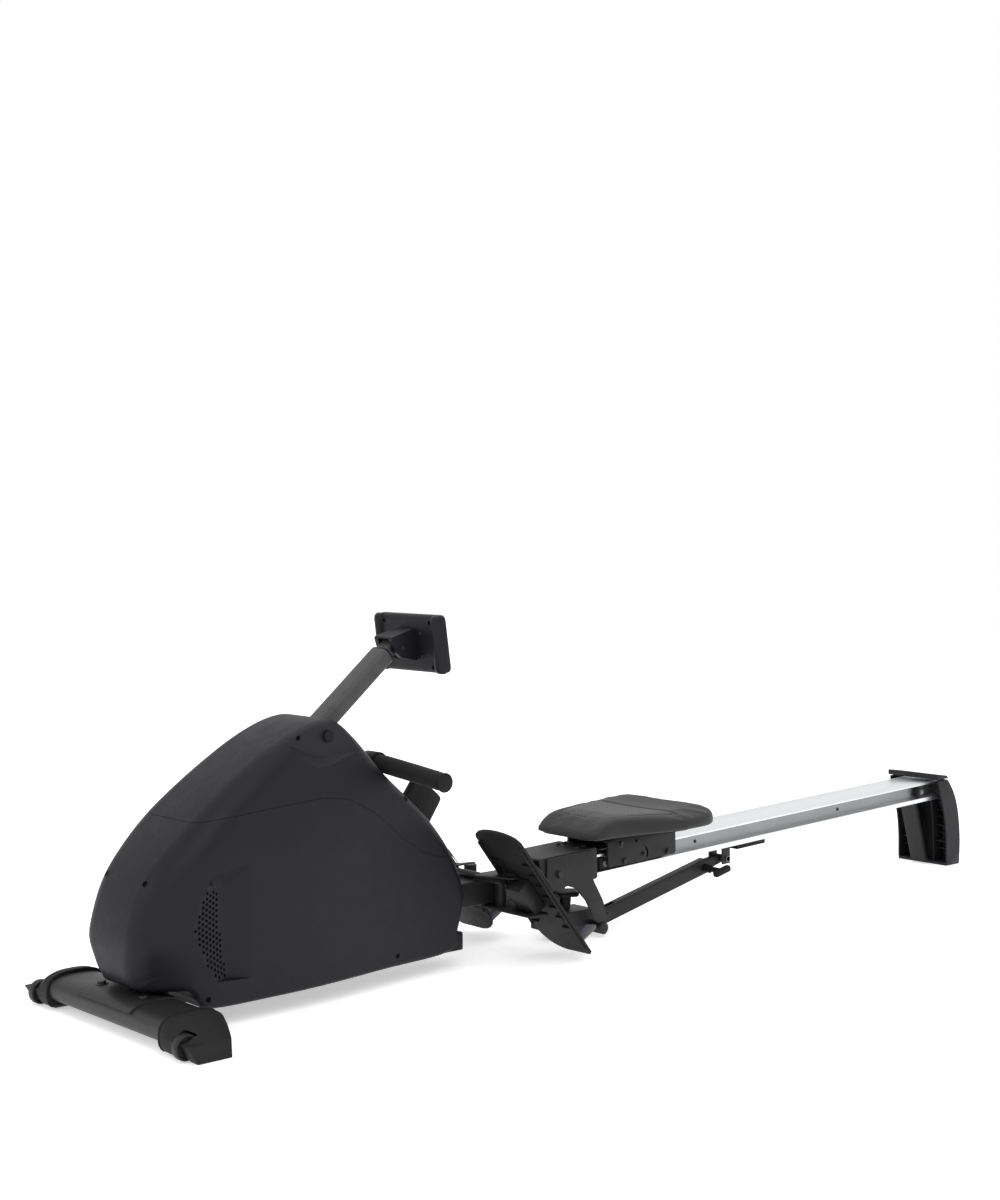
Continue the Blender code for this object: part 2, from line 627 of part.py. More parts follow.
def mast_mesh(grow, low, high):
    """Oval tube along the mast line, from low to high measured from its foot."""
    line = (MAST_HEAD - MAST_FOOT).normalized()
    lift = Vector((-line.z, 0.0, line.x))
    rings = []
    for along in (low, high):
        ring = []
        for index in range(28):
            angle = 2 * math.pi * index / 28
            wide = (0.0225 + grow) * math.cos(angle)
            tall = (0.0150 + grow) * math.sin(angle)
            point = MAST_FOOT + line * along + lift * tall
            ring.append((point.x, wide, point.z))
        rings.append(ring)
    return loft_mesh(rings)


def console_mast():
    length = (MAST_HEAD - MAST_FOOT).length
    mast = place("console_mast", mast_mesh(0.0, -0.010, length - 0.028), GREY_PAINT, smooth=True)
    cut(mast, mast_mesh(-0.0020, -0.02, length - 0.034))
    spread = box_mesh((0.300, -0.0185, 0.375), (0.340, 0.0185, 0.410))
    join(mast, spread)
    join(mast, rod_mesh((0.324, 0.0, 0.385), "Y", 0.008, 0.090, sides=20))
    join(mast, mast_eye())


def mast_eye():
    """Flat eye at the mast's head that the console turns on."""
    line = (MAST_HEAD - MAST_FOOT).normalized()
    lift = Vector((-line.z, 0.0, line.x))
    tail = MAST_HEAD - line * 0.040
    outline = [tail - lift * 0.011, MAST_HEAD - lift * 0.011 + line * 0.004, MAST_HEAD + line * 0.011,
               MAST_HEAD + lift * 0.0095 + line * 0.003, tail + lift * 0.011]
    return flat_mesh([(p.x, p.z) for p in outline], -0.014, 0.014)


def nozzle_mesh(radius, low, high, squash=0.55):
    """Oval column square to the housing's rear slope."""
    side = Vector((NOZZLE_OUT.z, 0.0, -NOZZLE_OUT.x))
    rings = []
    for along in (low, high):
        ring = []
        for index in range(28):
            angle = 2 * math.pi * index / 28
            point = NOZZLE_AT + NOZZLE_OUT * along + side * (radius * math.cos(angle))
            ring.append((point.x, radius * squash * math.sin(angle), point.z))
        rings.append(ring)
    return loft_mesh(rings)


def strap_nozzle():
    """Collar that guides the pull strap out of the housing."""
    nozzle = place("strap_nozzle", nozzle_mesh(0.039, -0.030, 0.066), BLACK_PLASTIC, smooth=True)
    side = Vector((NOZZLE_OUT.z, 0.0, -NOZZLE_OUT.x))
    slot = []
    for along in (-0.05, 0.09):
        slot.append([tuple(NOZZLE_AT + NOZZLE_OUT * along + side * a + Vector((0, b, 0)))
                     for a, b in ((-0.020, -0.015), (0.006, -0.015), (0.006, 0.015), (-0.020, 0.015))])
    cut(nozzle, loft_mesh(slot))


# ---------------------------------------------------------------- drive
def axle_frame():
    """Two side plates standing on the beam, tied by a spacer, holding both axles."""
    outline = rounded([(0.190, 0.100), (0.470, 0.100), (0.478, 0.250), (0.400, 0.262), (0.300, 0.300),
                       (0.215, 0.300)], 0.012)
    inner, outer = BEAM_HALF_WIDTH + GAP, BEAM_HALF_WIDTH + 0.0033
    plates = place("axle_frame", flat_mesh(outline, inner, outer), STEEL)
    join(plates, flat_mesh(outline, -outer, -inner))
    join(plates, box_mesh((0.370, -outer + 0.001, BEAM_HIGH + 0.001), (0.395, outer - 0.001, 0.151)))
    for x, z in (FLYWHEEL_AT, DRUM_AT):
        cut(plates, rod_mesh((x, 0.0, z), "Y", 0.0065, 0.12, sides=24))


def flywheel():
    """Heavy rimmed disc with its axle and small belt pulley."""
    profile = [(0.0, 0.040), (0.006, 0.040), (0.006, 0.0275), (0.019, 0.0275), (0.019, 0.0150), (0.030, 0.0130),
               (0.030, 0.0055), (0.085, 0.0055), (0.088, 0.0120), (FLYWHEEL_RADIUS, 0.0120),
               (FLYWHEEL_RADIUS, -0.0120), (0.088, -0.0120), (0.085, -0.0055), (0.030, -0.0055),
               (0.030, -0.0130), (0.006, -0.0130), (0.006, -0.040), (0.0, -0.040)]
    centre = (FLYWHEEL_AT[0], 0.0, FLYWHEEL_AT[1])
    place("flywheel", turned_mesh(profile, centre, steps=48), IRON, origin=centre, smooth=True)


def drive_drum():
    """Strap spool and large belt pulley on one axle."""
    profile = [(0.0, 0.040), (0.006, 0.040), (0.006, 0.0280), (0.056, 0.0280), (0.056, 0.0145), (0.038, 0.0145),
               (0.038, 0.0120), (0.024, 0.0120), (0.024, -0.0120), (0.038, -0.0120), (0.038, -0.0140),
               (0.006, -0.0140), (0.006, -0.040), (0.0, -0.040)]
    centre = (DRUM_AT[0], 0.0, DRUM_AT[1])
    place("drive_drum", turned_mesh(profile, centre, steps=40), BLACK_PLASTIC, origin=centre, smooth=True)


def drive_belt():
    """Ribbed belt round the two pulleys."""
    small, large = 0.0193, 0.0563
    start, end = Vector(FLYWHEEL_AT), Vector(DRUM_AT)
    lean = math.atan2(end.y - start.y, end.x - start.x)
    wrap = math.asin((large - small) / (end - start).length)

    def loop(extra):
        points = []
        for i in range(13):
            angle = lean + math.pi / 2 + wrap + (math.pi - 2 * wrap) * i / 12
            points.append(start + Vector((math.cos(angle), math.sin(angle))) * (small + extra))
        for i in range(19):
            angle = lean - math.pi / 2 - wrap + (math.pi + 2 * wrap) * i / 18
            points.append(end + Vector((math.cos(angle), math.sin(angle))) * (large + extra))
        return points

    belt = place("drive_belt", flat_mesh([tuple(p) for p in loop(0.0022)], 0.0155, 0.0265), RUBBER, smooth=True)
    cut(belt, flat_mesh([tuple(p) for p in loop(0.0)], 0.0, 0.05))


def spring_case():
    """Round case of the strap's return spring, on the drum's side."""
    case = place("return_spring_case", rod_mesh((DRUM_AT[0], -0.0222, DRUM_AT[1]), "Y", 0.040, 0.0120, sides=32),
                 BLACK_PLASTIC, smooth=True)
    cut(case, rod_mesh((DRUM_AT[0], -0.0222, DRUM_AT[1]), "Y", 0.0075, 0.03, sides=24))


def magnet_arm():
    """Curved arm with the brake magnets, swinging in front of the flywheel's rim."""
    centre = Vector(FLYWHEEL_AT)
    angles = [math.radians(148 + 76 * i / 12) for i in range(13)]
    inner = [centre + Vector((math.cos(a), math.sin(a))) * (FLYWHEEL_RADIUS + 0.003) for a in angles]
    outer = [centre + Vector((math.cos(a), math.sin(a))) * (FLYWHEEL_RADIUS + 0.016) for a in reversed(angles)]
    place("magnet_arm", flat_mesh([tuple(p) for p in inner + outer], -0.016, 0.016), STEEL,
          origin=(MAGNET_PIVOT[0], 0.0, MAGNET_PIVOT[1]))


# ---------------------------------------------------------------- pull handle
def handle():
    """Foam-covered bar with drooping ends, its clamp, end caps and strap."""
    x, z = HANDLE_AT
    droop = 0.014
    points = [(x - 0.007 * t * t, HANDLE_HALF * t, z - droop * max(0.0, abs(t) - 0.12) / 0.88)
              for t in [i / 8 for i in range(-8, 9)]]
    origin = (x, 0.0, z)
    place("handle_grip", tube_mesh(points, HANDLE_RADIUS), FOAM, origin=origin, smooth=True)
    for name, side in SIDES:
        tip = (x - 0.0071, side * (HANDLE_HALF + 0.0041), z - droop - 0.0003)
        place("handle_end_cap_" + name, rod_mesh(tip, "Y", HANDLE_RADIUS + 0.0010, 0.005, sides=24), BLACK_PLASTIC,
              origin=tip, smooth=True)
    clamp = place("handle_clamp", rod_mesh((x, 0.0, z), "Y", HANDLE_RADIUS + 0.0035, 0.034, sides=28),
                  BLACK_PLASTIC, origin=origin)
    cut(clamp, rod_mesh((x, 0.0, z), "Y", HANDLE_RADIUS + 0.0008, 0.06, sides=28))
    join(clamp, box_mesh((x + 0.0168, -0.0140, z - 0.0100), (x + 0.0260, 0.0140, z + 0.0020)))
    exit_at = NOZZLE_AT + NOZZLE_OUT * 0.074 + Vector((-0.012, 0.0, 0.008))
    lead = Vector((x + 0.0265, 0.0, z - 0.0055))
    strap = [(exit_at.x, exit_at.z), (exit_at.x, exit_at.z + 0.0017), (lead.x, lead.z + 0.0015), (lead.x, lead.z)]
    place("pull_strap", flat_mesh(strap, -0.0125, 0.0125), WEBBING, origin=(exit_at.x, 0.0, exit_at.z))


# ---------------------------------------------------------------- console
def on_console(mesh):
    """Lean a mesh drawn upright about the tilt axis."""
    pivot = Vector((DISPLAY_PIVOT[0], 0.0, DISPLAY_PIVOT[1]))
    mesh.transform(Matrix.Translation(pivot) @ Matrix.Rotation(CONSOLE_LEAN, 4, "Y") @ Matrix.Translation(-pivot))
    return mesh


def console():
    """Display unit, its screen, three push buttons and the hooded bracket on its back."""
    px, pz = DISPLAY_PIVOT
    origin = (px, 0.0, pz)
    face = [(-0.089, pz - 0.0490), (0.089, pz - 0.0490), (0.086, pz + 0.0520), (-0.086, pz + 0.0520)]
    back, front = px + 0.0330, px + 0.0520
    body = place("console_body", on_console(flat_mesh(rounded(face, 0.010), back, front, plane="YZ")), SHELL_PLASTIC,
                 origin=origin)
    cut(body, on_console(box_mesh((front - 0.003, -0.062, pz - 0.014), (front + 0.01, 0.062, pz + 0.036))))
    place("console_screen", on_console(box_mesh((front - 0.003 + GAP, -0.0615, pz - 0.0135),
                                                (front - 0.0008, 0.0615, pz + 0.0355))), SCREEN_GLASS, origin=origin)
    for index, name in enumerate(("left", "middle", "right")):
        centre = (front + 0.0004, (index - 1) * 0.042, pz - 0.031)
        cut(body, on_console(rod_mesh((front - 0.002, centre[1], centre[2]), "X", 0.0086, 0.012, sides=24)))
        button = on_console(rod_mesh(centre, "X", 0.0080, 0.0060, sides=24))
        place("console_button_" + name, button, CAP_PLASTIC, origin=origin, smooth=True)
    hood = [(px - 0.022, pz + 0.019), (px - 0.020, pz + 0.022), (back - GAP, pz + 0.030), (back - GAP, pz - 0.028),
            (px - 0.004, pz - 0.017), (px - 0.017, pz - 0.004)]
    bracket = place("console_bracket", on_console(flat_mesh(rounded(hood, 0.004, steps=2), -0.0245, 0.0245)),
                    SHELL_PLASTIC, origin=origin)
    cut(bracket, on_console(box_mesh((px - 0.06, -0.0152, pz - 0.06), (px + 0.0200, 0.0152, pz + 0.0190))))
    join(bracket, rod_mesh((px, -0.0200, pz), "Y", 0.0055, 0.0100, sides=20))
    join(bracket, rod_mesh((px, 0.0200, pz), "Y", 0.0055, 0.0100, sides=20))


# ---------------------------------------------------------------- rail and what it carries
def rail():
    """Aluminium extrusion with a roller channel on each side and a slot underneath."""
    w, top, low = RAIL_HALF_WIDTH, RAIL_TOP, RAIL_BOTTOM
    half = [(0.0, top), (w, top), (w, top - 0.0055), (0.030, top - 0.0070), (0.030, low + 0.0120),
            (w, low + 0.0100), (w, low), (0.0060, low), (0.0060, low + 0.0030), (0.0110, low + 0.0030),
            (0.0110, low + 0.0075), (0.0, low + 0.0075)]
    outline = half + [(-y, z) for y, z in reversed(half[1:-1])]
    extrusion = place("rail_extrusion", flat_mesh(outline, RAIL_START, RAIL_END, plane="YZ"), ALUMINIUM,
                      parent=rail_line)
    cut(extrusion, box_mesh((RAIL_START - 0.01, -0.026, low + 0.0120), (RAIL_END + 0.01, 0.026, top - 0.0035)))
    for along in STOPS:
        cut(extrusion, rod_mesh((along, 0.0, STOP_HEIGHT), "Y", 0.0034, 0.20, sides=20))


def rail_stop(name, along, side_face):
    """Bumper in both roller channels, tied by one bolt through the rail."""
    stop = place(name, rod_mesh((along, 0.0, STOP_HEIGHT), "Y", 0.0030, 0.0900, sides=20), RUBBER, parent=rail_line)
    for side in (-1, 1):
        inner, outer = side * (0.030 + GAP), side * 0.0430
        low = (along - 0.011 - side_face * 0.004, min(inner, outer), STOP_HEIGHT - 0.0095)
        high = (along + 0.011 - side_face * 0.004, max(inner, outer), STOP_HEIGHT + 0.0095)
        join(stop, box_mesh(low, high))


def hinge_adapter():
    """Folded sheet-steel saddle that fixes the rail's front end to the fold axis."""
    outer, inner = PLATE_INNER - 0.0005, PLATE_INNER - 0.0035
    low, top = RAIL_BOTTOM, 0.0340
    side_view = rounded([(-0.046, top), (-0.034, low + 0.002), (0.104, low), (0.104, top)], 0.004)
    adapter = place("rail_hinge_adapter", flat_mesh(side_view, -outer, outer), GREY_PAINT, parent=rail_line)
    cut(adapter, box_mesh((-0.10, -inner, low - 0.01), (0.12, inner, top - 0.0035)))
    cut(adapter, rod_mesh((0.0, 0.0, 0.0), "Y", 0.0055, 0.2, sides=24))
    join(adapter, box_mesh((0.066, -inner - 0.001, RAIL_TOP + GAP), (0.100, inner + 0.001, top - 0.001)))


def pivot_bolt():
    """Fold bolt through both side plates and the adapter."""
    reach = PLATE_INNER + PLATE_THICK
    bolt = place("rail_pivot_bolt", rod_mesh((PIVOT[0], 0.0, PIVOT[1]), "Y", 0.0050, 2 * reach + 0.012, sides=24),
                 STEEL, origin=(PIVOT[0], 0.0, PIVOT[1]), smooth=True)
    for side in (-1, 1):
        join(bolt, rod_mesh((PIVOT[0], side * (reach + 0.0032), PIVOT[1]), "Y", 0.0095, 0.0058, sides=24))


def rear_foot():
    """Open-fronted moulded foot with ribs, the steel leg inside it and the lid over the rail's end."""
    front = [(2.089, 0.0), (2.087, 0.070), (2.077, 0.125), (2.052, 0.1985)]
    rear = [(2.090, 0.1985), (2.118, 0.158), (2.133, 0.110), (2.139, 0.055), (2.137, 0.0)]
    shell = place("rear_foot_shell", flat_mesh(front + rear, -0.067, 0.067), SHELL_PLASTIC)
    hollow = [(2.040, 0.006), (2.040, 0.22), (2.079, 0.22), (2.112, 0.156), (2.128, 0.109), (2.134, 0.055),
              (2.132, 0.006)]
    cut(shell, flat_mesh(hollow, -0.0635, 0.0635))
    for height in (0.052, 0.088, 0.124):
        for side in (-1, 1):
            low = (2.100, min(side * 0.026, side * 0.0645), height)
            high = (2.126 - 0.10 * (height - 0.05), max(side * 0.026, side * 0.0645), height + 0.0025)
            join(shell, box_mesh(low, high))
    shell.parent = machine
    lid = [(2.048, 0.2010), (2.092, 0.2010), (2.084, 0.2082), (2.048, 0.2125)]
    place("rear_foot_cap", flat_mesh(rounded(lid, [0.001, 0.001, 0.004, 0.001]), -0.0675, 0.0675), SHELL_PLASTIC)
    leg = [(2.026, 0.1485), (2.037, 0.1488), (2.083, 0.0065), (2.072, 0.0065)]
    place("rear_leg", flat_mesh(leg, -0.020, 0.020), GREY_PAINT)


# ---------------------------------------------------------------- strut
STRUT_ANGLE = math.atan2(STRUT_HEAD[1] - STRUT_FOOT[1], STRUT_HEAD[0] - STRUT_FOOT[0])
STRUT_REACH = math.hypot(STRUT_HEAD[1] - STRUT_FOOT[1], STRUT_HEAD[0] - STRUT_FOOT[0])


def on_strut(mesh):
    """Move a mesh drawn along +X from the strut's lower pivot onto the strut's line."""
    foot = Vector((STRUT_FOOT[0], 0.0, STRUT_FOOT[1]))
    mesh.transform(Matrix.Translation(foot) @ Matrix.Rotation(-STRUT_ANGLE, 4, "Y"))
    return mesh


def strut():
    """Rectangular stay with its lower bolt, and the head plate that meets the sliding shoe."""
    origin = (STRUT_FOOT[0], 0.0, STRUT_FOOT[1])
    tube = place("strut_tube", on_strut(box_mesh((-0.016, -0.0103, -0.015), (0.297, 0.0103, 0.015))), GREY_PAINT,
                 origin=origin)
    cut(tube, on_strut(box_mesh((-0.03, -0.0083, -0.0128), (0.285, 0.0083, 0.0128))))
    cut(tube, on_strut(box_mesh((-0.03, -0.0046, 0.0), (0.030, 0.0046, 0.03))))
    join(tube, on_strut(rod_mesh((0.0, 0.0, 0.0), "Y", 0.0040, 0.0300, sides=20)))
    head = [(0.292, -0.011), (STRUT_REACH, -0.0085), (STRUT_REACH + 0.008, 0.0), (STRUT_REACH, 0.0085), (0.292, 0.011)]
    join(tube, on_strut(flat_mesh(rounded(head, [0, 0.006, 0.005, 0.006, 0]), -0.0065, 0.0065)))
    cut(tube, on_strut(rod_mesh((PULL_KNOB_ALONG, -0.0103, -0.002), "Y", 0.0042, 0.010, sides=20)))


def pull_knob():
    """Spring pin with a T grip on the strut's near side."""
    along, down = PULL_KNOB_ALONG, -0.002
    knob = place("strut_pull_knob", on_strut(rod_mesh((along, -0.0205, down), "Y", 0.0035, 0.0240, sides=20)),
                 BLACK_PLASTIC, origin=(STRUT_FOOT[0], 0.0, STRUT_FOOT[1]), smooth=True)
    join(knob, on_strut(rod_mesh((along, -0.0185, down), "Y", 0.0085, 0.0150, sides=24)))
    join(knob, on_strut(rod_mesh((along, -0.0380, down), "Y", 0.0055, 0.0280, sides=24)))
    grip = rounded([(along - 0.022, down - 0.0065), (along + 0.022, down - 0.0065), (along + 0.022, down + 0.0065),
                    (along - 0.022, down + 0.0065)], 0.004)
    join(knob, on_strut(flat_mesh(grip, -0.062, -0.050)))


def strut_shoe():
    """U bracket that hangs from the rail's lower slot and slides along it."""
    dx = STRUT_HEAD[0] - PIVOT[0]
    dz = STRUT_HEAD[1] - PIVOT[1]
    c, s = math.cos(RAIL_INCLINE), math.sin(RAIL_INCLINE)
    along = dx * c + dz * s
    down = dz * c - dx * s
    top = RAIL_BOTTOM - GAP
    shoe = place("strut_shoe", box_mesh((along - 0.012, -0.0200, down - 0.011), (along + 0.012, 0.0200, top)),
                 GREY_PAINT, parent=rail_line, origin=(along, 0.0, top))
    cut(shoe, box_mesh((along - 0.02, -0.0165, down - 0.02), (along + 0.02, 0.0165, top - 0.0035)))
    join(shoe, box_mesh((along - 0.052, -0.0195, top - 0.0032), (along, 0.0195, top - 0.0001)))
    slot = RAIL_BOTTOM + 0.0030
    join(shoe, box_mesh((along - 0.010, -0.0055, top - 0.002), (along + 0.010, 0.0055, slot + 0.0006)))
    join(shoe, box_mesh((along - 0.010, -0.0100, slot + GAP), (along + 0.010, 0.0100, slot + 0.0038)))
    for side in (-1, 1):
        join(shoe, rod_mesh((along, side * 0.0165, down), "Y", 0.0062, 0.0160, sides=20))


def stop_block():
    """Block under the rail that the shoe rests against when the machine stands ready."""
    low = (0.540, -0.0200, RAIL_BOTTOM - 0.0165)
    high = (0.629, 0.0200, RAIL_BOTTOM - GAP)
    soften(place("shoe_stop_block", box_mesh(low, high), BLACK_PLASTIC, parent=rail_line), 0.0012)


# ---------------------------------------------------------------- seat
def carriage():
    """Bent steel saddle over the rail that carries the seat and its rollers."""
    outer, inner, top = 0.0555, 0.0515, 0.0430
    low = -0.0090
    body = place("carriage_frame", box_mesh((CARRIAGE_START, -outer, low), (CARRIAGE_END, outer, top)), GREY_PAINT,
                 parent=rail_line)
    cut(body, box_mesh((CARRIAGE_START - 0.01, -inner, low - 0.01), (CARRIAGE_END + 0.01, inner, top - 0.004)))
    join(body, box_mesh((CARRIAGE_START - 0.018, -inner - 0.001, 0.0270), (CARRIAGE_END - 0.02, inner + 0.001, 0.0300)))
    for along in ROLLERS:
        for side in (-1, 1):
            cut(body, rod_mesh((along, side * inner, ROLLER_HEIGHT), "Y", 0.0043, 0.02, sides=20))
    return body


def roller(name, along, side):
    """Grooveless channel roller with its stub axle and bolt head."""
    centre = (along, side * 0.0390, ROLLER_HEIGHT)
    wheel = place(name, rod_mesh(centre, "Y", ROLLER_RADIUS, 0.0110, sides=28), BLACK_PLASTIC, parent=rail_line,
                  origin=centre, smooth=True)
    join(wheel, rod_mesh((along, side * 0.0500, ROLLER_HEIGHT), "Y", 0.0040, 0.0160, sides=20))
    join(wheel, rod_mesh((along, side * 0.0580, ROLLER_HEIGHT), "Y", 0.0065, 0.0044, sides=20))


def seat():
    """Moulded seat: narrow sloping nose, wide dished back with a raised rim, on a thin pan."""
    stations = [(0.939, 0.080, 0.1985, 0.0), (0.943, 0.084, 0.2045, 0.0), (0.958, 0.088, 0.2165, 0.0),
                (0.977, 0.091, 0.2265, 0.0), (1.002, 0.096, 0.2310, 0.001), (1.038, 0.108, 0.2325, 0.003),
                (1.080, 0.127, 0.2335, 0.005), (1.120, 0.141, 0.2345, 0.007), (1.160, 0.146, 0.2365, 0.008),
                (1.194, 0.143, 0.2390, 0.006), (1.217, 0.130, 0.2390, 0.002), (1.228, 0.108, 0.2320, 0.0)]
    rings = []
    for x, half, top, dish in stations:
        low = 0.1845 + 0.0354 * (x - PIVOT[0])
        ring = []
        for index in range(28):
            angle = 2 * math.pi * index / 28
            c, s = math.cos(angle), math.sin(angle)
            y = half * math.copysign(abs(c) ** 0.45, c)
            if s >= 0:
                z = low + 0.010 + (top - low - 0.010) * abs(s) ** 0.55 - dish * (1 - (y / half) ** 2)
            else:
                z = low + 0.010 - 0.010 * abs(s) ** 0.5
            ring.append((x, y, z))
        rings.append(ring)
    place("seat_pad", loft_mesh(rings), SEAT_FOAM, parent=machine, smooth=True)
    pan = rounded([(0.128, -0.070), (0.318, -0.100), (0.318, 0.100), (0.128, 0.070)], 0.015)
    place("seat_pan", flat_mesh(pan, 0.0430 + GAP, 0.0490, plane="XY"), BLACK_PLASTIC, parent=rail_line)


# ---------------------------------------------------------------- assembly
front_stabiliser()
for name, side in SIDES:
    end_cap("stabiliser_end_cap_" + name, side)
    transport_wheel("transport_wheel_" + name, side)
    bracket_plate("rail_bracket_plate_" + name, side)
    footplate("footplate_" + name, side)
    heel_cup("heel_cup_" + name, side)
    foot_strap("foot_strap_" + name, side)
    housing_shell("housing_upper_" + name, side, True)
    housing_shell("housing_lower_" + name, side, False)
    for end, along in zip(("front", "rear"), ROLLERS):
        roller("seat_roller_" + end + "_" + name, along, side)
main_beam()
saddle_pad()
base_beam()
star_knob()
footrest_frame()
console_mast()
strap_nozzle()
axle_frame()
flywheel()
drive_drum()
drive_belt()
spring_case()
magnet_arm()
handle()
console()
rail()
rail_stop("rail_stop_front", STOPS[0], 1)
rail_stop("rail_stop_rear", STOPS[1], 1)
hinge_adapter()
pivot_bolt()
rear_foot()
strut()
pull_knob()
strut_shoe()
stop_block()
carriage()
seat()
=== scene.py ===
import math

import bmesh
import bpy
from mathutils import Matrix, Vector, noise
from mathutils.bvhtree import BVHTree


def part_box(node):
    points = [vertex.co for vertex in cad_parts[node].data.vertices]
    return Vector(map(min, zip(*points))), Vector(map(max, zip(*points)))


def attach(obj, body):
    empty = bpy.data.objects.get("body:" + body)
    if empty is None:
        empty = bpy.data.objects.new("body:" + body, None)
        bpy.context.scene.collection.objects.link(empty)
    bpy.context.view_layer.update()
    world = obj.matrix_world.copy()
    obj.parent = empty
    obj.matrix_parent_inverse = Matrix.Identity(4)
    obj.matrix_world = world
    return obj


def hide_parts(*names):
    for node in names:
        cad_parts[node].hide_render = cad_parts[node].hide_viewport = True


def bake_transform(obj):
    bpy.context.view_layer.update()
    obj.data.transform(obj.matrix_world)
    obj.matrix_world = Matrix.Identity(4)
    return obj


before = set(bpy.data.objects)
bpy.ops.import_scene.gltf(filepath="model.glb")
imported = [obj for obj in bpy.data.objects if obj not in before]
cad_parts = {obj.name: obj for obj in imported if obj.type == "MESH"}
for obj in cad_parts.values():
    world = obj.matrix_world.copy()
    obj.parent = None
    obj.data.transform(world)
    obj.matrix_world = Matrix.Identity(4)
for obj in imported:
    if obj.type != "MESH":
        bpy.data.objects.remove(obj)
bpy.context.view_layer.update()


def middle(node):
    low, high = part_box(node)
    return (low + high) / 2


# Lengths below are stations: X counts from the front stabiliser's centreline.
PIVOT = middle("rail_pivot_bolt")
PIVOT_STATION = 0.872
FRONT_X = PIVOT.x - PIVOT_STATION
TO_ROW = Matrix.Translation((FRONT_X, 0, 0))
INCLINE = math.radians(2.03)
RAIL = Matrix.Translation((PIVOT_STATION, 0, PIVOT.z)) @ Matrix.Rotation(-INCLINE, 4, "Y")
STRUT_FOOT = Vector((1.043, 0.0, 0.027))
STRUT = Matrix.Translation(STRUT_FOOT) @ Matrix.Rotation(-math.atan2(0.0705, 0.337), 4, "Y")
SIDES = (("left", -1), ("right", 1))


# ------------------------------------------------------------------ node materials
def principled(name, colour, rough, metal=0.0, spec=0.5):
    made = bpy.data.materials.new(name)
    made.use_nodes = True
    tree = made.node_tree
    shader = tree.nodes["Principled BSDF"]
    shader.inputs["Base Color"].default_value = (*colour, 1)
    shader.inputs["Roughness"].default_value = rough
    shader.inputs["Metallic"].default_value = metal
    shader.inputs["Specular IOR Level"].default_value = spec
    return made, tree, shader


def coords(tree, scale=(1, 1, 1), turn=(0, 0, 0)):
    source = tree.nodes.new("ShaderNodeTexCoord")
    mapping = tree.nodes.new("ShaderNodeMapping")
    mapping.inputs["Scale"].default_value = scale
    mapping.inputs["Rotation"].default_value = turn
    tree.links.new(source.outputs["Object"], mapping.inputs["Vector"])
    return mapping.outputs["Vector"]


def grain(tree, vector, scale, detail=3.0, rough=0.6):
    node = tree.nodes.new("ShaderNodeTexNoise")
    node.inputs["Scale"].default_value = scale
    node.inputs["Detail"].default_value = detail
    node.inputs["Roughness"].default_value = rough
    tree.links.new(vector, node.inputs["Vector"])
    return node.outputs["Fac"]


def ramp(tree, value, low, high, first, last):
    node = tree.nodes.new("ShaderNodeMapRange")
    for key, number in (("From Min", low), ("From Max", high), ("To Min", first), ("To Max", last)):
        node.inputs[key].default_value = number
    tree.links.new(value, node.inputs["Value"])
    return node.outputs["Result"]


def tint(tree, value, dark, light):
    node = tree.nodes.new("ShaderNodeMix")
    node.data_type = "RGBA"
    node.inputs["A"].default_value = (*dark, 1)
    node.inputs["B"].default_value = (*light, 1)
    tree.links.new(value, node.inputs["Factor"])
    return node.outputs["Result"]


def bump(tree, shader, height, strength, distance, under=None):
    node = tree.nodes.new("ShaderNodeBump")
    node.inputs["Strength"].default_value = strength
    node.inputs["Distance"].default_value = distance
    tree.links.new(height, node.inputs["Height"])
    if under is not None:
        tree.links.new(under, node.inputs["Normal"])
    tree.links.new(node.outputs["Normal"], shader.inputs["Normal"])
    return node.outputs["Normal"]


def moulded(name, colour, rough, texture=900.0, depth=0.00012, spread=0.10, spec=0.45, sheen=0.0):
    """Moulded plastic: fine spark-eroded texture, slow colour drift, dusty patches in the gloss."""
    made, tree, shader = principled(name, colour, rough, 0.0, spec)
    vector = coords(tree)
    slow = grain(tree, vector, 7.0, 4.0)
    dark = [c * (1 - spread) for c in colour]
    light = [c * (1 + spread) for c in colour]
    tree.links.new(tint(tree, ramp(tree, slow, 0.3, 0.7, 0, 1), dark, light), shader.inputs["Base Color"])
    patches = grain(tree, vector, 40.0, 5.0, 0.7)
    tree.links.new(ramp(tree, patches, 0.25, 0.75, rough - 0.05, rough + 0.07), shader.inputs["Roughness"])
    bump(tree, shader, grain(tree, vector, texture, 2.0), 0.5, depth)
    shader.inputs["Sheen Weight"].default_value = sheen
    return made


def coated(name, colour, rough, peel=260.0):
    """Powder coat over steel: orange peel, slight mottling, faint rub marks."""
    made, tree, shader = principled(name, colour, rough, 0.15, 0.25)
    vector = coords(tree)
    mottle = grain(tree, vector, 30.0, 5.0, 0.65)
    tree.links.new(tint(tree, ramp(tree, mottle, 0.3, 0.7, 0, 1), [c * 0.86 for c in colour],
                        [c * 1.14 for c in colour]), shader.inputs["Base Color"])
    rub = grain(tree, coords(tree, (1.0, 6.0, 6.0)), 60.0, 6.0, 0.7)
    tree.links.new(ramp(tree, rub, 0.35, 0.75, rough + 0.05, rough - 0.08), shader.inputs["Roughness"])
    first = bump(tree, shader, grain(tree, vector, peel, 2.0), 0.25, 0.0004)
    bump(tree, shader, grain(tree, vector, 1400.0, 1.0), 0.2, 0.0001, first)
    return made


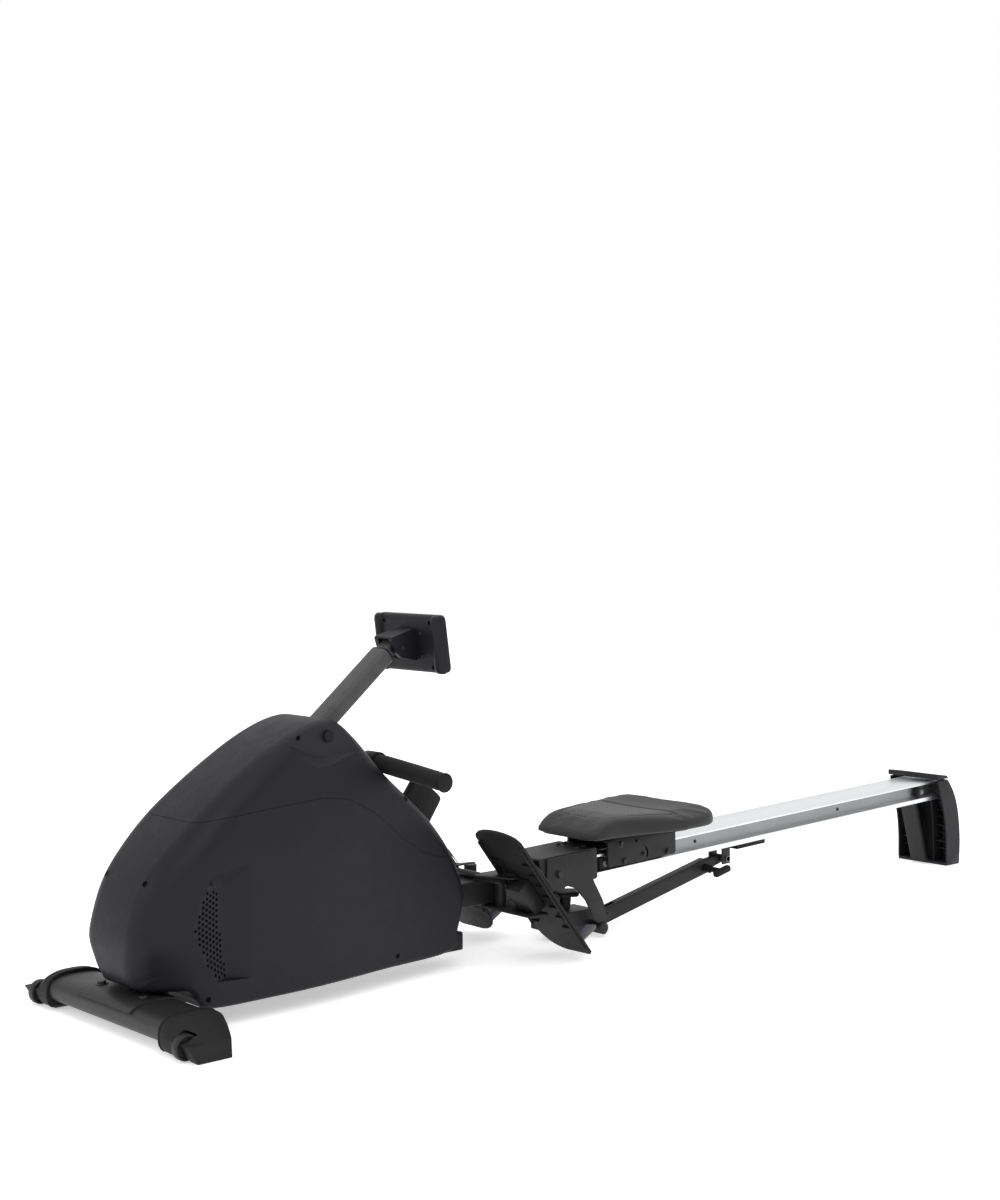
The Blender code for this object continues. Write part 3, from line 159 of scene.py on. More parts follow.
def brushed(name, colour, rough, stretch, metal=1.0):
    """Metal with fine lines along its length and a little haze."""
    made, tree, shader = principled(name, colour, rough, metal, 0.5)
    lines = grain(tree, coords(tree, stretch, (0, INCLINE, 0)), 700.0, 3.0, 0.7)
    haze = grain(tree, coords(tree, (1, 1, 1)), 9.0, 4.0)
    tree.links.new(tint(tree, ramp(tree, lines, 0.3, 0.7, 0, 1), [c * 0.92 for c in colour], colour),
                   shader.inputs["Base Color"])
    tree.links.new(ramp(tree, haze, 0.3, 0.7, rough - 0.04, rough + 0.06), shader.inputs["Roughness"])
    bump(tree, shader, lines, 0.12, 0.00008)
    return made


def woven(name, colour, rough=0.85):
    """Webbing: crossing ribs at thread scale; the colour follows the rib height, painted shade between the
    threads and lighter rib tops.
    """
    made, tree, shader = principled(name, colour, rough, 0.0, 0.3)
    waves = []
    for turn in (0.7, -0.7):
        wave = tree.nodes.new("ShaderNodeTexWave")
        wave.inputs["Scale"].default_value = 260.0
        tree.links.new(coords(tree, (1, 1, 1), (0, 0, turn)), wave.inputs["Vector"])
        waves.append(wave.outputs["Fac"])
    both = tree.nodes.new("ShaderNodeMath")
    both.operation = "MULTIPLY"
    tree.links.new(waves[0], both.inputs[0])
    tree.links.new(waves[1], both.inputs[1])
    # Colour from the weave height: painted shade between the threads, lighter rib tops.
    tree.links.new(tint(tree, both.outputs[0], [c * 0.6 for c in colour], [c * 1.7 for c in colour]),
                   shader.inputs["Base Color"])
    bump(tree, shader, both.outputs[0], 0.6, 0.0004)
    shader.inputs["Sheen Weight"].default_value = 0.3
    return made


def foam_skin(name, colour, rough=0.82):
    """Closed-cell foam: soft pores and a dry sheen."""
    made, tree, shader = principled(name, colour, rough, 0.0, 0.15)
    pores = tree.nodes.new("ShaderNodeTexVoronoi")
    pores.inputs["Scale"].default_value = 900.0
    tree.links.new(coords(tree), pores.inputs["Vector"])
    # Colour darker in the pore pits that the bump sinks and lighter between them: painted shade in the pores.
    tree.links.new(tint(tree, pores.outputs["Distance"], [c * 0.7 for c in colour],
                        [c * 1.4 for c in colour]),
                   shader.inputs["Base Color"])
    bump(tree, shader, pores.outputs["Distance"], 0.35, 0.0003)
    shader.inputs["Sheen Weight"].default_value = 0.06
    return made


HOUSING = moulded("housing_plastic", (0.0064, 0.0064, 0.0090), 0.48, 1000.0, 0.00010, 0.06, 0.19)
LENS = moulded("lens_plastic", (0.0080, 0.0080, 0.0105), 0.50, spec=0.24)
DARK = moulded("dark_plastic", (0.0055, 0.0055, 0.0062), 0.55, spec=0.16)
HOLE = moulded("hole_shadow", (0.0015, 0.0015, 0.0016), 0.90, spec=0.05)
CAP = moulded("cap_plastic", (0.0085, 0.0085, 0.0088), 0.60, 700.0, 0.0002, spec=0.18)
FOOT = moulded("foot_plastic", (0.0120, 0.0120, 0.0140), 0.52, spec=0.22)
TREAD = moulded("tread_plastic", (0.0110, 0.0110, 0.0125), 0.45, spec=0.25)
CUP = moulded("heel_plastic", (0.0300, 0.0290, 0.0400), 0.55, spec=0.25)
PAINT = coated("powder_coat", (0.0150, 0.0150, 0.0154), 0.50)
TUBE_PAINT = coated("tube_coat", (0.0200, 0.0200, 0.0198), 0.45)
MAST_PAINT = coated("mast_coat", (0.0480, 0.0480, 0.0485), 0.42)
BOLT = brushed("black_bolt", (0.0220, 0.0220, 0.0230), 0.42, (1, 1, 1), 0.6)
ZINC = brushed("zinc_steel", (0.22, 0.22, 0.225), 0.38, (1, 8, 8))
IRON = brushed("turned_iron", (0.16, 0.16, 0.165), 0.45, (6, 1, 6), 0.9)
RAIL_ALU = brushed("rail_aluminium", (0.78, 0.79, 0.80), 0.34, (0.02, 1, 1))
# Darker copy of the rail aluminium for the flanks and channel sides: painted shade, the metal is the same as
# on the top.
RAIL_SHADED_SIDE = brushed("rail_side_painted_shade", (0.27, 0.275, 0.28), 0.42, (0.02, 1, 1))
RUBBER = foam_skin("rubber", (0.010, 0.010, 0.011), 0.75)
FOAM = foam_skin("grip_foam", (0.0055, 0.0055, 0.0060), 0.80)
WEB = woven("webbing", (0.014, 0.014, 0.016))
GLASS = moulded("screen_window", (0.10, 0.12, 0.105), 0.12, spec=0.6)


# ------------------------------------------------------------------ mesh helpers
def mesh_of(shape, name="mesh"):
    bmesh.ops.recalc_face_normals(shape, faces=shape.faces)
    made = bpy.data.meshes.new(name)
    shape.to_mesh(made)
    shape.free()
    return made


def piece(name, mesh, surface, body, stands_for=(), at=None, angle=35):
    """Add a visible piece: into the row frame, shaded, with its material, riding on its body."""
    if at is not None:
        mesh.transform(at)
    mesh.transform(TO_ROW)
    made = bpy.data.objects.new(name, mesh)
    bpy.context.scene.collection.objects.link(made)
    if surface is not None and not any(mesh.materials):
        painted(mesh, surface)
    mesh.shade_smooth()
    mesh.set_sharp_from_angle(angle=math.radians(angle))
    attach(made, body)
    if stands_for:
        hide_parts(*stands_for)
    return made


def merged(meshes):
    """Several meshes as one, each keeping its material."""
    shape = bmesh.new()
    surfaces = []
    for part in meshes:
        first = len(shape.faces)
        shape.from_mesh(part)
        shape.faces.ensure_lookup_table()
        slots = list(part.materials) or [None]
        for face in shape.faces[first:]:
            surface = slots[min(face.material_index, len(slots) - 1)]
            if surface not in surfaces:
                surfaces.append(surface)
            face.material_index = surfaces.index(surface)
    made = bpy.data.meshes.new("merged")
    shape.to_mesh(made)
    shape.free()
    if surfaces != [None]:
        for surface in surfaces:
            made.materials.append(surface)
    return made


def painted(mesh, surface):
    mesh.materials.clear()
    mesh.materials.append(surface)
    return mesh


def box(low, high, bevel=0.0012, segments=2):
    shape = bmesh.new()
    bmesh.ops.create_cube(shape, size=1.0)
    for vert in shape.verts:
        vert.co = Vector([lo + (hi - lo) * (c + 0.5) for lo, hi, c in zip(low, high, vert.co)])
    if bevel:
        bmesh.ops.bevel(shape, geom=shape.edges[:], offset=bevel, segments=segments, profile=0.5,
                        affect="EDGES", clamp_overlap=True)
    return mesh_of(shape)


def axes(plane):
    return {"XZ": lambda a, b, d: (a, d, b), "XY": lambda a, b, d: (a, b, d), "YZ": lambda a, b,
            d: (d, a, b)}[plane]


def plate(points, low, high, plane="XZ", bevel=0.0008, segments=2):
    """A flat outline with thickness and softened rims."""
    put = axes(plane)
    shape = bmesh.new()
    first = [shape.verts.new(put(a, b, low)) for a, b in points]
    last = [shape.verts.new(put(a, b, high)) for a, b in points]
    rims = [shape.faces.new(first), shape.faces.new(list(reversed(last)))]
    count = len(points)
    for index in range(count):
        after = (index + 1) % count
        shape.faces.new((first[index], last[index], last[after], first[after]))
    if bevel:
        edges = list({edge for face in rims for edge in face.edges})
        bmesh.ops.bevel(shape, geom=edges, offset=bevel, segments=segments, profile=0.5, affect="EDGES",
                        clamp_overlap=True)
    return mesh_of(shape)


def turned(profile, centre=(0, 0, 0), axis="Y", steps=40):
    """(radius, height) pairs turned about an axis."""
    shape = bmesh.new()
    rings = []
    for radius, height in profile:
        if radius < 1e-6:
            rings.append([shape.verts.new((0, 0, height))])
        else:
            rings.append([shape.verts.new((radius * math.cos(2 * math.pi * i / steps),
                                           radius * math.sin(2 * math.pi * i / steps), height))
                          for i in range(steps)])
    for here, there in zip(rings, rings[1:]):
        for i in range(steps):
            j = (i + 1) % steps
            if len(here) == 1 and len(there) > 1:
                shape.faces.new((here[0], there[i], there[j]))
            elif len(there) == 1 and len(here) > 1:
                shape.faces.new((here[i], here[j], there[0]))
            elif len(here) > 1:
                shape.faces.new((here[i], here[j], there[j], there[i]))
    made = mesh_of(shape)
    turn = {"Y": Matrix.Rotation(-math.pi / 2, 4, "X"), "Z": Matrix.Identity(4),
            "X": Matrix.Rotation(math.pi / 2, 4, "Y")}[axis]
    made.transform(Matrix.Translation(centre) @ turn)
    return made


def rod(radius, half, centre=(0, 0, 0), axis="Y", steps=40):
    """A plain round bar, half of its length on each side of its centre."""
    return turned([(0, half), (radius, half), (radius, -half), (0, -half)], centre, axis, steps)


def rect(a, b, c, d):
    """Corners of the rectangle from (a, b) to (c, d)."""
    return [(a, b), (c, b), (c, d), (a, d)]


def outward(side):
    return "+Y" if side > 0 else "-Y"


def loft(rings, closed=True):
    shape = bmesh.new()
    loops = [[shape.verts.new(point) for point in ring] for ring in rings]
    count = len(rings[0])
    for here, there in zip(loops, loops[1:]):
        for index in range(count):
            after = (index + 1) % count
            shape.faces.new((here[index], here[after], there[after], there[index]))
    if closed:
        shape.faces.new(loops[0])
        shape.faces.new(loops[-1])
    return mesh_of(shape)


def sheet_of(rows):
    """An open grid of points as a surface."""
    shape = bmesh.new()
    grid = [[shape.verts.new(point) for point in row] for row in rows]
    for here, there in zip(grid, grid[1:]):
        for a, b, c, d in zip(here, here[1:], there[1:], there):
            shape.faces.new((a, b, c, d))
    return mesh_of(shape)


def rounded(points, radius, steps=5):
    radii = radius if isinstance(radius, (list, tuple)) else [radius] * len(points)
    result = []
    for index, corner in enumerate(points):
        corner = Vector(corner)
        to_last = (Vector(points[index - 1]) - corner).normalized()
        to_next = (Vector(points[(index + 1) % len(points)]) - corner).normalized()
        half = to_last.angle(to_next) / 2
        if radii[index] <= 0 or half > math.radians(88):
            result.append(tuple(corner))
            continue
        reach = radii[index] / math.tan(half)
        centre = corner + (to_last + to_next).normalized() * (radii[index] / math.sin(half))
        first, last = corner + to_last * reach - centre, corner + to_next * reach - centre
        for step in range(steps + 1):
            result.append(tuple(centre + first.slerp(last, step / steps).normalized() * radii[index]))
    return result


def curve_through(points, per_span=6, closed=True):
    count = len(points)
    size = len(points[0])
    spans = count if closed else count - 1
    result = []
    for i in range(spans):
        picked = [(i + k - 1) % count if closed else min(count - 1, max(0, i + k - 1)) for k in range(4)]
        a, b, c, d = (Vector(points[k]) for k in picked)
        for step in range(per_span):
            t = step / per_span
            result.append(0.5 * ((2 * b) + (c - a) * t + (2 * a - 5 * b + 4 * c - d) * t ** 2
                                 + (3 * b - a - 3 * c + d) * t ** 3))
    if not closed:
        result.append(Vector(points[-1]))
    return [tuple(p[k] for k in range(size)) for p in result]


def boolean(mesh, cutter, operation="DIFFERENCE"):
    """Cut one mesh with another; the cutter's faces keep their own material."""
    target = bpy.data.objects.new("target", mesh)
    tool = bpy.data.objects.new("tool", cutter)
    for item in (target, tool):
        bpy.context.scene.collection.objects.link(item)
    modifier = target.modifiers.new("cut", "BOOLEAN")
    modifier.operation = operation
    modifier.solver = "EXACT"
    modifier.material_mode = "TRANSFER"
    modifier.object = tool
    bpy.context.view_layer.update()
    made = bpy.data.meshes.new_from_object(target.evaluated_get(bpy.context.evaluated_depsgraph_get()))
    bpy.data.objects.remove(target)
    bpy.data.objects.remove(tool)
    return made


def ease(value, low, high):
    t = min(1.0, max(0.0, (value - low) / (high - low)))
    return t * t * (3 - 2 * t)


AIM = {"-Y": Matrix.Rotation(math.pi / 2, 4, "X"), "+Y": Matrix.Rotation(-math.pi / 2, 4, "X"),
       "+Z": Matrix.Identity(4), "-Z": Matrix.Rotation(math.pi, 4, "X"),
       "-X": Matrix.Rotation(-math.pi / 2, 4, "Y"), "+X": Matrix.Rotation(math.pi / 2, 4, "Y")}


def hex_head(radius, height, washer=0.0, washer_height=0.0012, surface=None):
    """Hexagon head on a washer, standing along +Z from the origin."""
    parts = []
    base = washer_height if washer else 0.0
    if washer:
        parts.append(turned([(0, base), (washer * 0.93, base), (washer, base * 0.6), (washer, 0), (0, 0)],
                            axis="Z",
                            steps=32))
    shape = bmesh.new()
    rings = []
    for level, reach in ((base, 1.0), (base + height * 0.72, 1.0), (base + height, 0.86)):
        rings.append([shape.verts.new((radius * reach * math.cos(math.pi * i / 3), radius * reach *
                                       math.sin(math.pi * i / 3), level)) for i in range(6)])
    for here, there in zip(rings, rings[1:]):
        for i in range(6):
            shape.faces.new((here[i], here[(i + 1) % 6], there[(i + 1) % 6], there[i]))
    shape.faces.new(rings[-1])
    shape.faces.new(list(reversed(rings[0])))
    parts.append(mesh_of(shape))
    return painted(merged(parts), surface or BOLT)


def pan_head(radius, height, socket=True, washer=0.0, surface=None):
    """Domed screw head with a socket recess, along +Z from the origin."""
    profile = [(0, height * 0.55), (radius * 0.42, height * 0.55),
               (radius * 0.45, height)] if socket else [(0, height)]
    profile += [(radius * 0.70, height * 0.97), (radius * 0.90, height * 0.72), (radius, height * 0.30),
                (radius, 0),
                (0, 0)]
    parts = [turned(profile, axis="Z", steps=28)]
    if washer:
        parts.append(turned(rect(0, 0.0008, washer, 0), axis="Z", steps=28))
    return painted(merged(parts), surface or BOLT)


def fixed(mesh, where, aim):
    mesh.transform(Matrix.Translation(where) @ AIM[aim])
    return mesh


# ------------------------------------------------------------------ camera, light, floor
LENS_MM = 66.564
CAMERA_AT = (-1.480, -2.497, 0.784)
CAMERA_TURN = 47.93   # degrees from +X towards +Y
CAMERA_TILT = 2.40    # degrees downwards


def set_stage():
    floor = bpy.data.objects.new("floor", sheet_of([[(x, y, 0) for x in (-9, 9)] for y in (-9, 9)]))
    bpy.context.scene.collection.objects.link(floor)
    made, tree, shader = principled("pale_floor", (0.93, 0.93, 0.93), 0.85, spec=0.2)
    vector = coords(tree)
    tree.links.new(tint(tree, grain(tree, vector, 3.0), (0.92, 0.92, 0.92), (0.94, 0.94, 0.94)),
                   shader.inputs["Base Color"])
    shader.inputs["Emission Color"].default_value = (1, 1, 1, 1)
    shader.inputs["Emission Strength"].default_value = 0.45
    floor.data.materials.append(made)

    world = bpy.data.worlds.new("studio")
    world.use_nodes = True
    world.node_tree.nodes["Background"].inputs["Color"].default_value = (1, 1, 1, 1)
    world.node_tree.nodes["Background"].inputs["Strength"].default_value = 1.0
    bpy.context.scene.world = world
    bpy.context.scene.view_settings.view_transform = "Standard"

    for name, at, aim, size, power in (("key", (-1.9, -2.3, 3.0), (-0.2, 0, 0.1), 2.2, 34),
                                       ("top", (0.2, 0.4, 3.4), (0.1, 0, 0.1), 3.0, 22),
                                       ("front", (-3.4, 0.3, 1.5), (-0.7, 0, 0.2), 1.6, 12)):
        lamp = bpy.data.lights.new(name, "AREA")
        lamp.size = size
        lamp.energy = power
        lamp_at = bpy.data.objects.new(name, lamp)
        lamp_at.location = at
        lamp_at.rotation_euler = (Vector(aim) - Vector(at)).to_track_quat("-Z", "Y").to_euler()
        bpy.context.scene.collection.objects.link(lamp_at)

    lens = bpy.data.cameras.new("camera")
    lens.lens = LENS_MM
    lens.sensor_width = 36
    lens.sensor_fit = "HORIZONTAL"
    camera = bpy.data.objects.new("camera", lens)
    turn, tilt = math.radians(CAMERA_TURN), math.radians(CAMERA_TILT)
    look = Vector((math.cos(turn) * math.cos(tilt), math.sin(turn) * math.cos(tilt), -math.sin(tilt)))
    camera.location = (FRONT_X + CAMERA_AT[0], CAMERA_AT[1], CAMERA_AT[2])
    camera.rotation_euler = look.to_track_quat("-Z", "Y").to_euler()
    bpy.context.scene.collection.objects.link(camera)
    bpy.context.scene.camera = camera


# ------------------------------------------------------------------ housing
OUTLINE = [(-0.036, 0.105, 0.036), (-0.038, 0.150, 0.040), (-0.015, 0.222, 0.042), (0.031, 0.280, 0.042),
           (0.102, 0.343, 0.040), (0.179, 0.398, 0.036), (0.249, 0.437, 0.030), (0.309, 0.459, 0.026),
           (0.352, 0.458, 0.024), (0.396, 0.425, 0.022), (0.455, 0.364, 0.022), (0.512, 0.314, 0.022),
           (0.562, 0.268, 0.022), (0.610, 0.205, 0.020), (0.638, 0.130, 0.018), (0.6235, 0.070, 0.016),
           (0.600, 0.034, 0.010), (0.420, 0.033, 0.007), (0.220, 0.032, 0.007), (0.085, 0.033, 0.008),
           (0.060, 0.048, 0.008), (0.044, 0.0645, 0.010), (-0.009, 0.0665, 0.014), (-0.027, 0.081, 0.026)]
MIDDLE = Vector((0.300, 0.230))
SEAM = [(-0.10, 0.300), (0.030, 0.312), (0.110, 0.325), (0.210, 0.333), (0.300, 0.338), (0.360, 0.330),
        (0.420, 0.300), (0.480, 0.253), (0.530, 0.220), (0.575, 0.205), (0.70, 0.200)]
MAST_FOOT = Vector((0.318, 0.0, 0.406))
MAST_HEAD = Vector((0.521, 0.0, 0.574))
NOZZLE_AT = Vector((0.560, 0.0, 0.262))
NOZZLE_OUT = Vector((0.590, 0.0, 0.807))
VENT_LEFT = [(0.0812, 0.0900), (0.0932, 0.0765), (0.1052, 0.0710), (0.1178, 0.0655), (0.1303, 0.0608),
             (0.1412, 0.0570), (0.1537, 0.0525), (0.1641, 0.0525), (0.1770, 0.0565), (0.1912, 0.0613),
             (0.2054, 0.0678), (0.2200, 0.0760)]
VENT_RIGHT = [(0.0768, 0.1163), (0.1078, 0.1113), (0.1340, 0.1072), (0.1569, 0.1048), (0.1872, 0.1035),
              (0.2195, 0.1041)]
VENT_END = 0.1600
VENT_DEPTH = 0.0118


def half_width(x, z):
    width = 0.105 - 0.018 * (1 - ease(x, -0.04, 0.10)) - 0.040 * ease(x, 0.22, 0.64)
    tuck = 0.034 * (1 - ease(z, 0.055, 0.150)) * (1 - ease(x, -0.03, 0.05))
    return width - 0.020 * ease(z, 0.24, 0.47) - tuck


def housing_body(inset, per_span=5, turns=9):
    loop = curve_through(OUTLINE, per_span)
    count = len(loop)
    flat = [Vector(p[:2]) for p in loop]
    inward = []
    for index in range(count):
        run = (flat[(index + 1) % count] - flat[index - 1]).normalized()
        inward.append(Vector((run.y, -run.x)))

    def ring(side, angle, shrink=0.0):
        points = []
        for point, full, normal in zip(flat, loop, inward):
            edge = max(0.002, full[2] - inset)
            moved = point + normal * (inset + edge * (1 - math.cos(angle)))
            moved = moved.lerp(MIDDLE, shrink)
            width = half_width(moved.x, moved.y) - inset - edge * (1 - math.sin(angle))
            points.append((moved.x, side * width, moved.y))
        return points

    shrinks = (0.97, 0.85, 0.7, 0.55, 0.4, 0.26, 0.14, 0.05)
    angles = [math.pi / 2 * step / turns for step in range(turns + 1)]
    rings = [ring(-1, math.pi / 2, s) for s in shrinks] + [ring(-1, a) for a in reversed(angles)]
    rings += [ring(1, a) for a in angles] + [ring(1, math.pi / 2, s) for s in reversed(shrinks)]
    return painted(loft(rings), HOUSING)


def along_line(table, value):
    """Straight interpolation in (key, value) pairs sorted by key, held at both ends."""
    if value <= table[0][0]:
        return table[0][1]
    for (a, first), (b, last) in zip(table, table[1:]):
        if value <= b:
            return first + (last - first) * (value - a) / (b - a)
    return table[-1][1]


def vent_sink(x, z):
    """Depth of the recess: a flat perforated panel going in, then a smooth ramp coming out."""
    left, right = along_line(VENT_LEFT, z) - 0.0025, along_line(VENT_RIGHT, z)
    if x < right:
        return 0.0008 + (VENT_DEPTH - 0.0008) * max(0.0, (x - left - 0.0025) / (right - left - 0.0025))
    return VENT_DEPTH * (1 - ease(x, right, VENT_END)) - 0.0001


def vent_cutter(side):
    """Block whose inner face is the recess."""
    rings = []
    for row in range(25):
        s = row / 24
        guess = 0.0740 + (0.2290 - 0.0740) * s
        left = along_line(VENT_LEFT, guess) - 0.0025
        ring = []
        for column in range(31):
            x = left + (VENT_END - left) * column / 30
            low = along_line([(0.074, 0.0780), (0.094, 0.0740), (VENT_END, 0.0708)], x)
            high = along_line([(0.060, 0.2225), (0.0812, 0.2262), (0.155, 0.2488)], x)
            z = low + (high - low) * s
            ring.append((x, side * (half_width(x, z) - vent_sink(x, z)), z))
        ring += [(ring[-1][0], side * 0.16, ring[-1][2]), (ring[0][0], side * 0.16, ring[0][2])]
        rings.append(ring)
    return painted(loft(rings), HOUSING)


def vent_parts(side):
    """Staggered holes in the sunken panel, and the lip over it."""
    pitch, rise, radius = 0.0068, 0.0086, 0.0025
    shape = bmesh.new()
    for column in range(9):
        for row in range(19):
            x = 0.0560 + column * pitch
            z = 0.0805 + (row + (0.5 if column % 2 else 0)) * rise
            if not (along_line(VENT_LEFT, z) + 0.0032 < x < along_line(VENT_RIGHT,
                                                                       z) - 0.0024 and z < 0.2180):
                continue
            points = []
            for i in range(14):
                a = math.pi * 2 * i / 14
                px, pz = x + radius * math.cos(a), z + radius * math.sin(a)
                points.append(shape.verts.new((px, side * (half_width(px, pz) - vent_sink(px, pz) + 0.00025),
                                               pz)))
            shape.faces.new(points)
    made = bpy.data.meshes.new("holes")
    shape.to_mesh(made)
    shape.free()
    brow = []
    for step in range(15):
        t = step / 14
        x = 0.0812 + (0.1540 - 0.0812) * t
        top = along_line([(0.0812, 0.2344), (0.1347, 0.2479), (0.1554, 0.2498)], x)
        low = along_line([(0.0812, 0.2262), (0.155, 0.2490)], x)
        proud = 0.0040 * (1 - t) ** 0.8 + 0.0001
        brow.append([(x, side * (half_width(x, z) + out), z) for z, out in
                     ((low - 0.0008, -0.006), (low, proud), (low + (top - low) * 0.25, proud), (top, 0.0),
                      (top, -0.006))])
    return [painted(made, HOLE), painted(loft(brow), HOUSING)]


LENS_PLANE = 0.0715


def lens_cutter(side):
    """Flat lens-shaped recess high on the flank, with a sloping lower ledge."""
    outer = [(0.2400, 0.4290), (0.2425, 0.4250), (0.2556, 0.4082), (0.2850, 0.3915), (0.3093, 0.3852),
             (0.3388, 0.3870), (0.3776, 0.3948), (0.4050, 0.4025)]
    inner = [(0.2415, 0.4305), (0.2480, 0.4270), (0.2640, 0.4205), (0.2900, 0.4100), (0.3170, 0.4035),
             (0.3480, 0.4043), (0.3790, 0.4070), (0.4040, 0.4060)]
    outer, inner = curve_through(outer, 5, False), curve_through(inner, 5, False)
    closing = [(0.412, 0.4400), (0.412, 0.5000), (0.236, 0.5000), (0.236, 0.4400)]
    rings = [[(x, side * 0.15, z) for x, z in outer + closing],
             [(x, side * 0.0875, z) for x, z in outer + closing],
             [(x, side * LENS_PLANE, z) for x, z in inner + closing]]
    return painted(loft(rings), LENS)


SCREWS = ((-0.0500, 0.2334, 0.0045), (0.0742, 0.0495, 0.0045), (0.4458, 0.0512, 0.0042),
          (0.4629, 0.3141, 0.0042))


def surface_spot(tree, x, z, side):
    """Surface point and normal met by an oblique line through (x, flank, z)."""
    along = Vector((0.670, -side * 0.742, 0.0))
    for step in range(24):
        nudge = 0.003 * (step // 2) * (-1 if step % 2 else 1)
        hit = tree.ray_cast(Vector((x + nudge, side * 0.105, z)) - along * 0.25, along)
        if hit[0] is not None:
            return hit[0], hit[1]
    raise ValueError("no housing surface near %.3f %.3f" % (x, z))


def stood(mesh, where, normal):
    mesh.transform(Matrix.Translation(where) @ normal.to_track_quat("Z", "Y").to_matrix().to_4x4())
    return mesh


def build_housing():
    full = housing_body(0.0)
    probe = bmesh.new()
    probe.from_mesh(full)
    tree = BVHTree.FromBMesh(probe)
    probe.free()
    inner = boolean(painted(housing_body(0.012, 3, 5), DARK),
                    box((0.215, -0.2, 0.375), (0.430, 0.2, 0.50), 0))
    shell = boolean(full.copy(), inner)
    for _, side in SIDES:
        shell = boolean(shell, vent_cutter(side))
        shell = boolean(shell, lens_cutter(side))
    shell = boolean(shell, painted(mast_tube(0.0015, -0.05, 0.35), DARK))
    shell = boolean(shell, painted(nozzle_tube(0.0405, -0.05, 0.12), DARK))
    shell = boolean(shell, painted(box((0.0080, -0.0325, 0.055), (0.064, 0.0325, 0.095), 0), DARK))
    shell = boolean(shell, painted(box((0.55, -0.0315, 0.096), (0.70, 0.0315, 0.144), 0), DARK))
    gap = 0.0003
    for name, side in SIDES:
        for upper in (True, False):
            shift = gap if upper else -gap
            far = 0.60 if upper else -0.05
            region = [(x, z + shift) for x, z in SEAM] + [(0.70, far), (-0.10, far)]
            low, high = sorted((side * 0.00008, side * 0.2))
            quarter = boolean(shell.copy(), painted(plate(region, low, high, bevel=0), DARK), "INTERSECT")
            extra = []
            if not upper:
                extra += vent_parts(side)
                heel = box((0.560, 0.0302, 0.0335), (0.6315, 0.062, 0.0655), 0.003, 3)
                extra.append(painted(heel, CAP))
                if side < 0:
                    extra[-1].transform(Matrix.Scale(-1, 4, (0, 1, 0)))
                    extra[-1].flip_normals()
            for x, z, radius in SCREWS:
                spot, normal = surface_spot(tree, x, z, side)
                seam = [a[1] + (b[1] - a[1]) * (spot.x - a[0]) / (b[0] - a[0]) for a, b in zip(SEAM, SEAM[1:])
                        if a[0] <= spot.x < b[0]][0]
                if (z > seam) != upper:
                    continue
                cup = turned([(radius * 1.35, -0.0005), (radius * 1.25, 0.0006), (radius, 0.0004),
                              (radius, 0.0002),
                              (0, 0.0002)], axis="Z", steps=24)
                extra.append(stood(painted(cup, HOUSING), spot, normal))
                extra.append(stood(painted(turned([(radius * 0.97, 0.0003), (0, 0.0004)], axis="Z", steps=24),
                                           HOLE),
                                   spot, normal))
            if upper:
                aim = outward(side)
                at = (0.3285, side * LENS_PLANE, 0.4345)
                ring = [(0.0108, 0), (0.0108, 0.0010), (0.0100, 0.0014), (0, 0.0014)]
                knob = [(0, 0.0078), (0.0075, 0.0076), (0.0090, 0.0064), (0.0094, 0.0050), (0.0094, 0.0010)]
                extra.append(fixed(painted(turned(ring, axis="Z", steps=36), DARK), at, aim))
                extra.append(fixed(painted(turned(knob, axis="Z", steps=36), DARK), at, aim))
                extra.append(fixed(painted(turned([(0.0042, 0.0002), (0, 0.0003)], axis="Z", steps=28), HOLE),
                                   (0.2700, side * LENS_PLANE, 0.4360), aim))
            kind = "upper" if upper else "lower"
            piece("cover_" + kind + "_" + name, merged([quarter] + extra), None, "base",
                  ("housing_" + kind + "_" + name,), angle=32)


def mast_axes():
    line = (MAST_HEAD - MAST_FOOT).normalized()
    return line, Vector((-line.z, 0.0, line.x))


def rounded_section(wide, tall, radius, steps=5):
    return rounded(rect(-wide, -tall, wide, tall), radius, steps)


def mast_tube(grow, low, high, section=None):
    line, lift = mast_axes()
    ring = section or rounded_section(0.0225 + grow, 0.0150 + grow, 0.0095)
    rings = []
    for along in (low, high):
        base = MAST_FOOT + line * along
        rings.append([tuple(base + lift * b + Vector((0, a, 0))) for a, b in ring])
    return loft(rings)


def nozzle_tube(radius, low, high, squash=0.55, top=None):
    side = Vector((NOZZLE_OUT.z, 0.0, -NOZZLE_OUT.x))
    stages = [(low, 1.0), (high, 1.0)] if top is None else [(low, 1.0)] + top
    rings = []
    for along, reach in stages:
        ring = []
        for index in range(48):
            a = 2 * math.pi * index / 48
            c, s = math.cos(a), math.sin(a)
            point = NOZZLE_AT + NOZZLE_OUT * along + side * (radius * reach * c)
            ring.append((point.x, radius * squash * reach * s, point.z))
        rings.append(ring)
    return loft(rings)


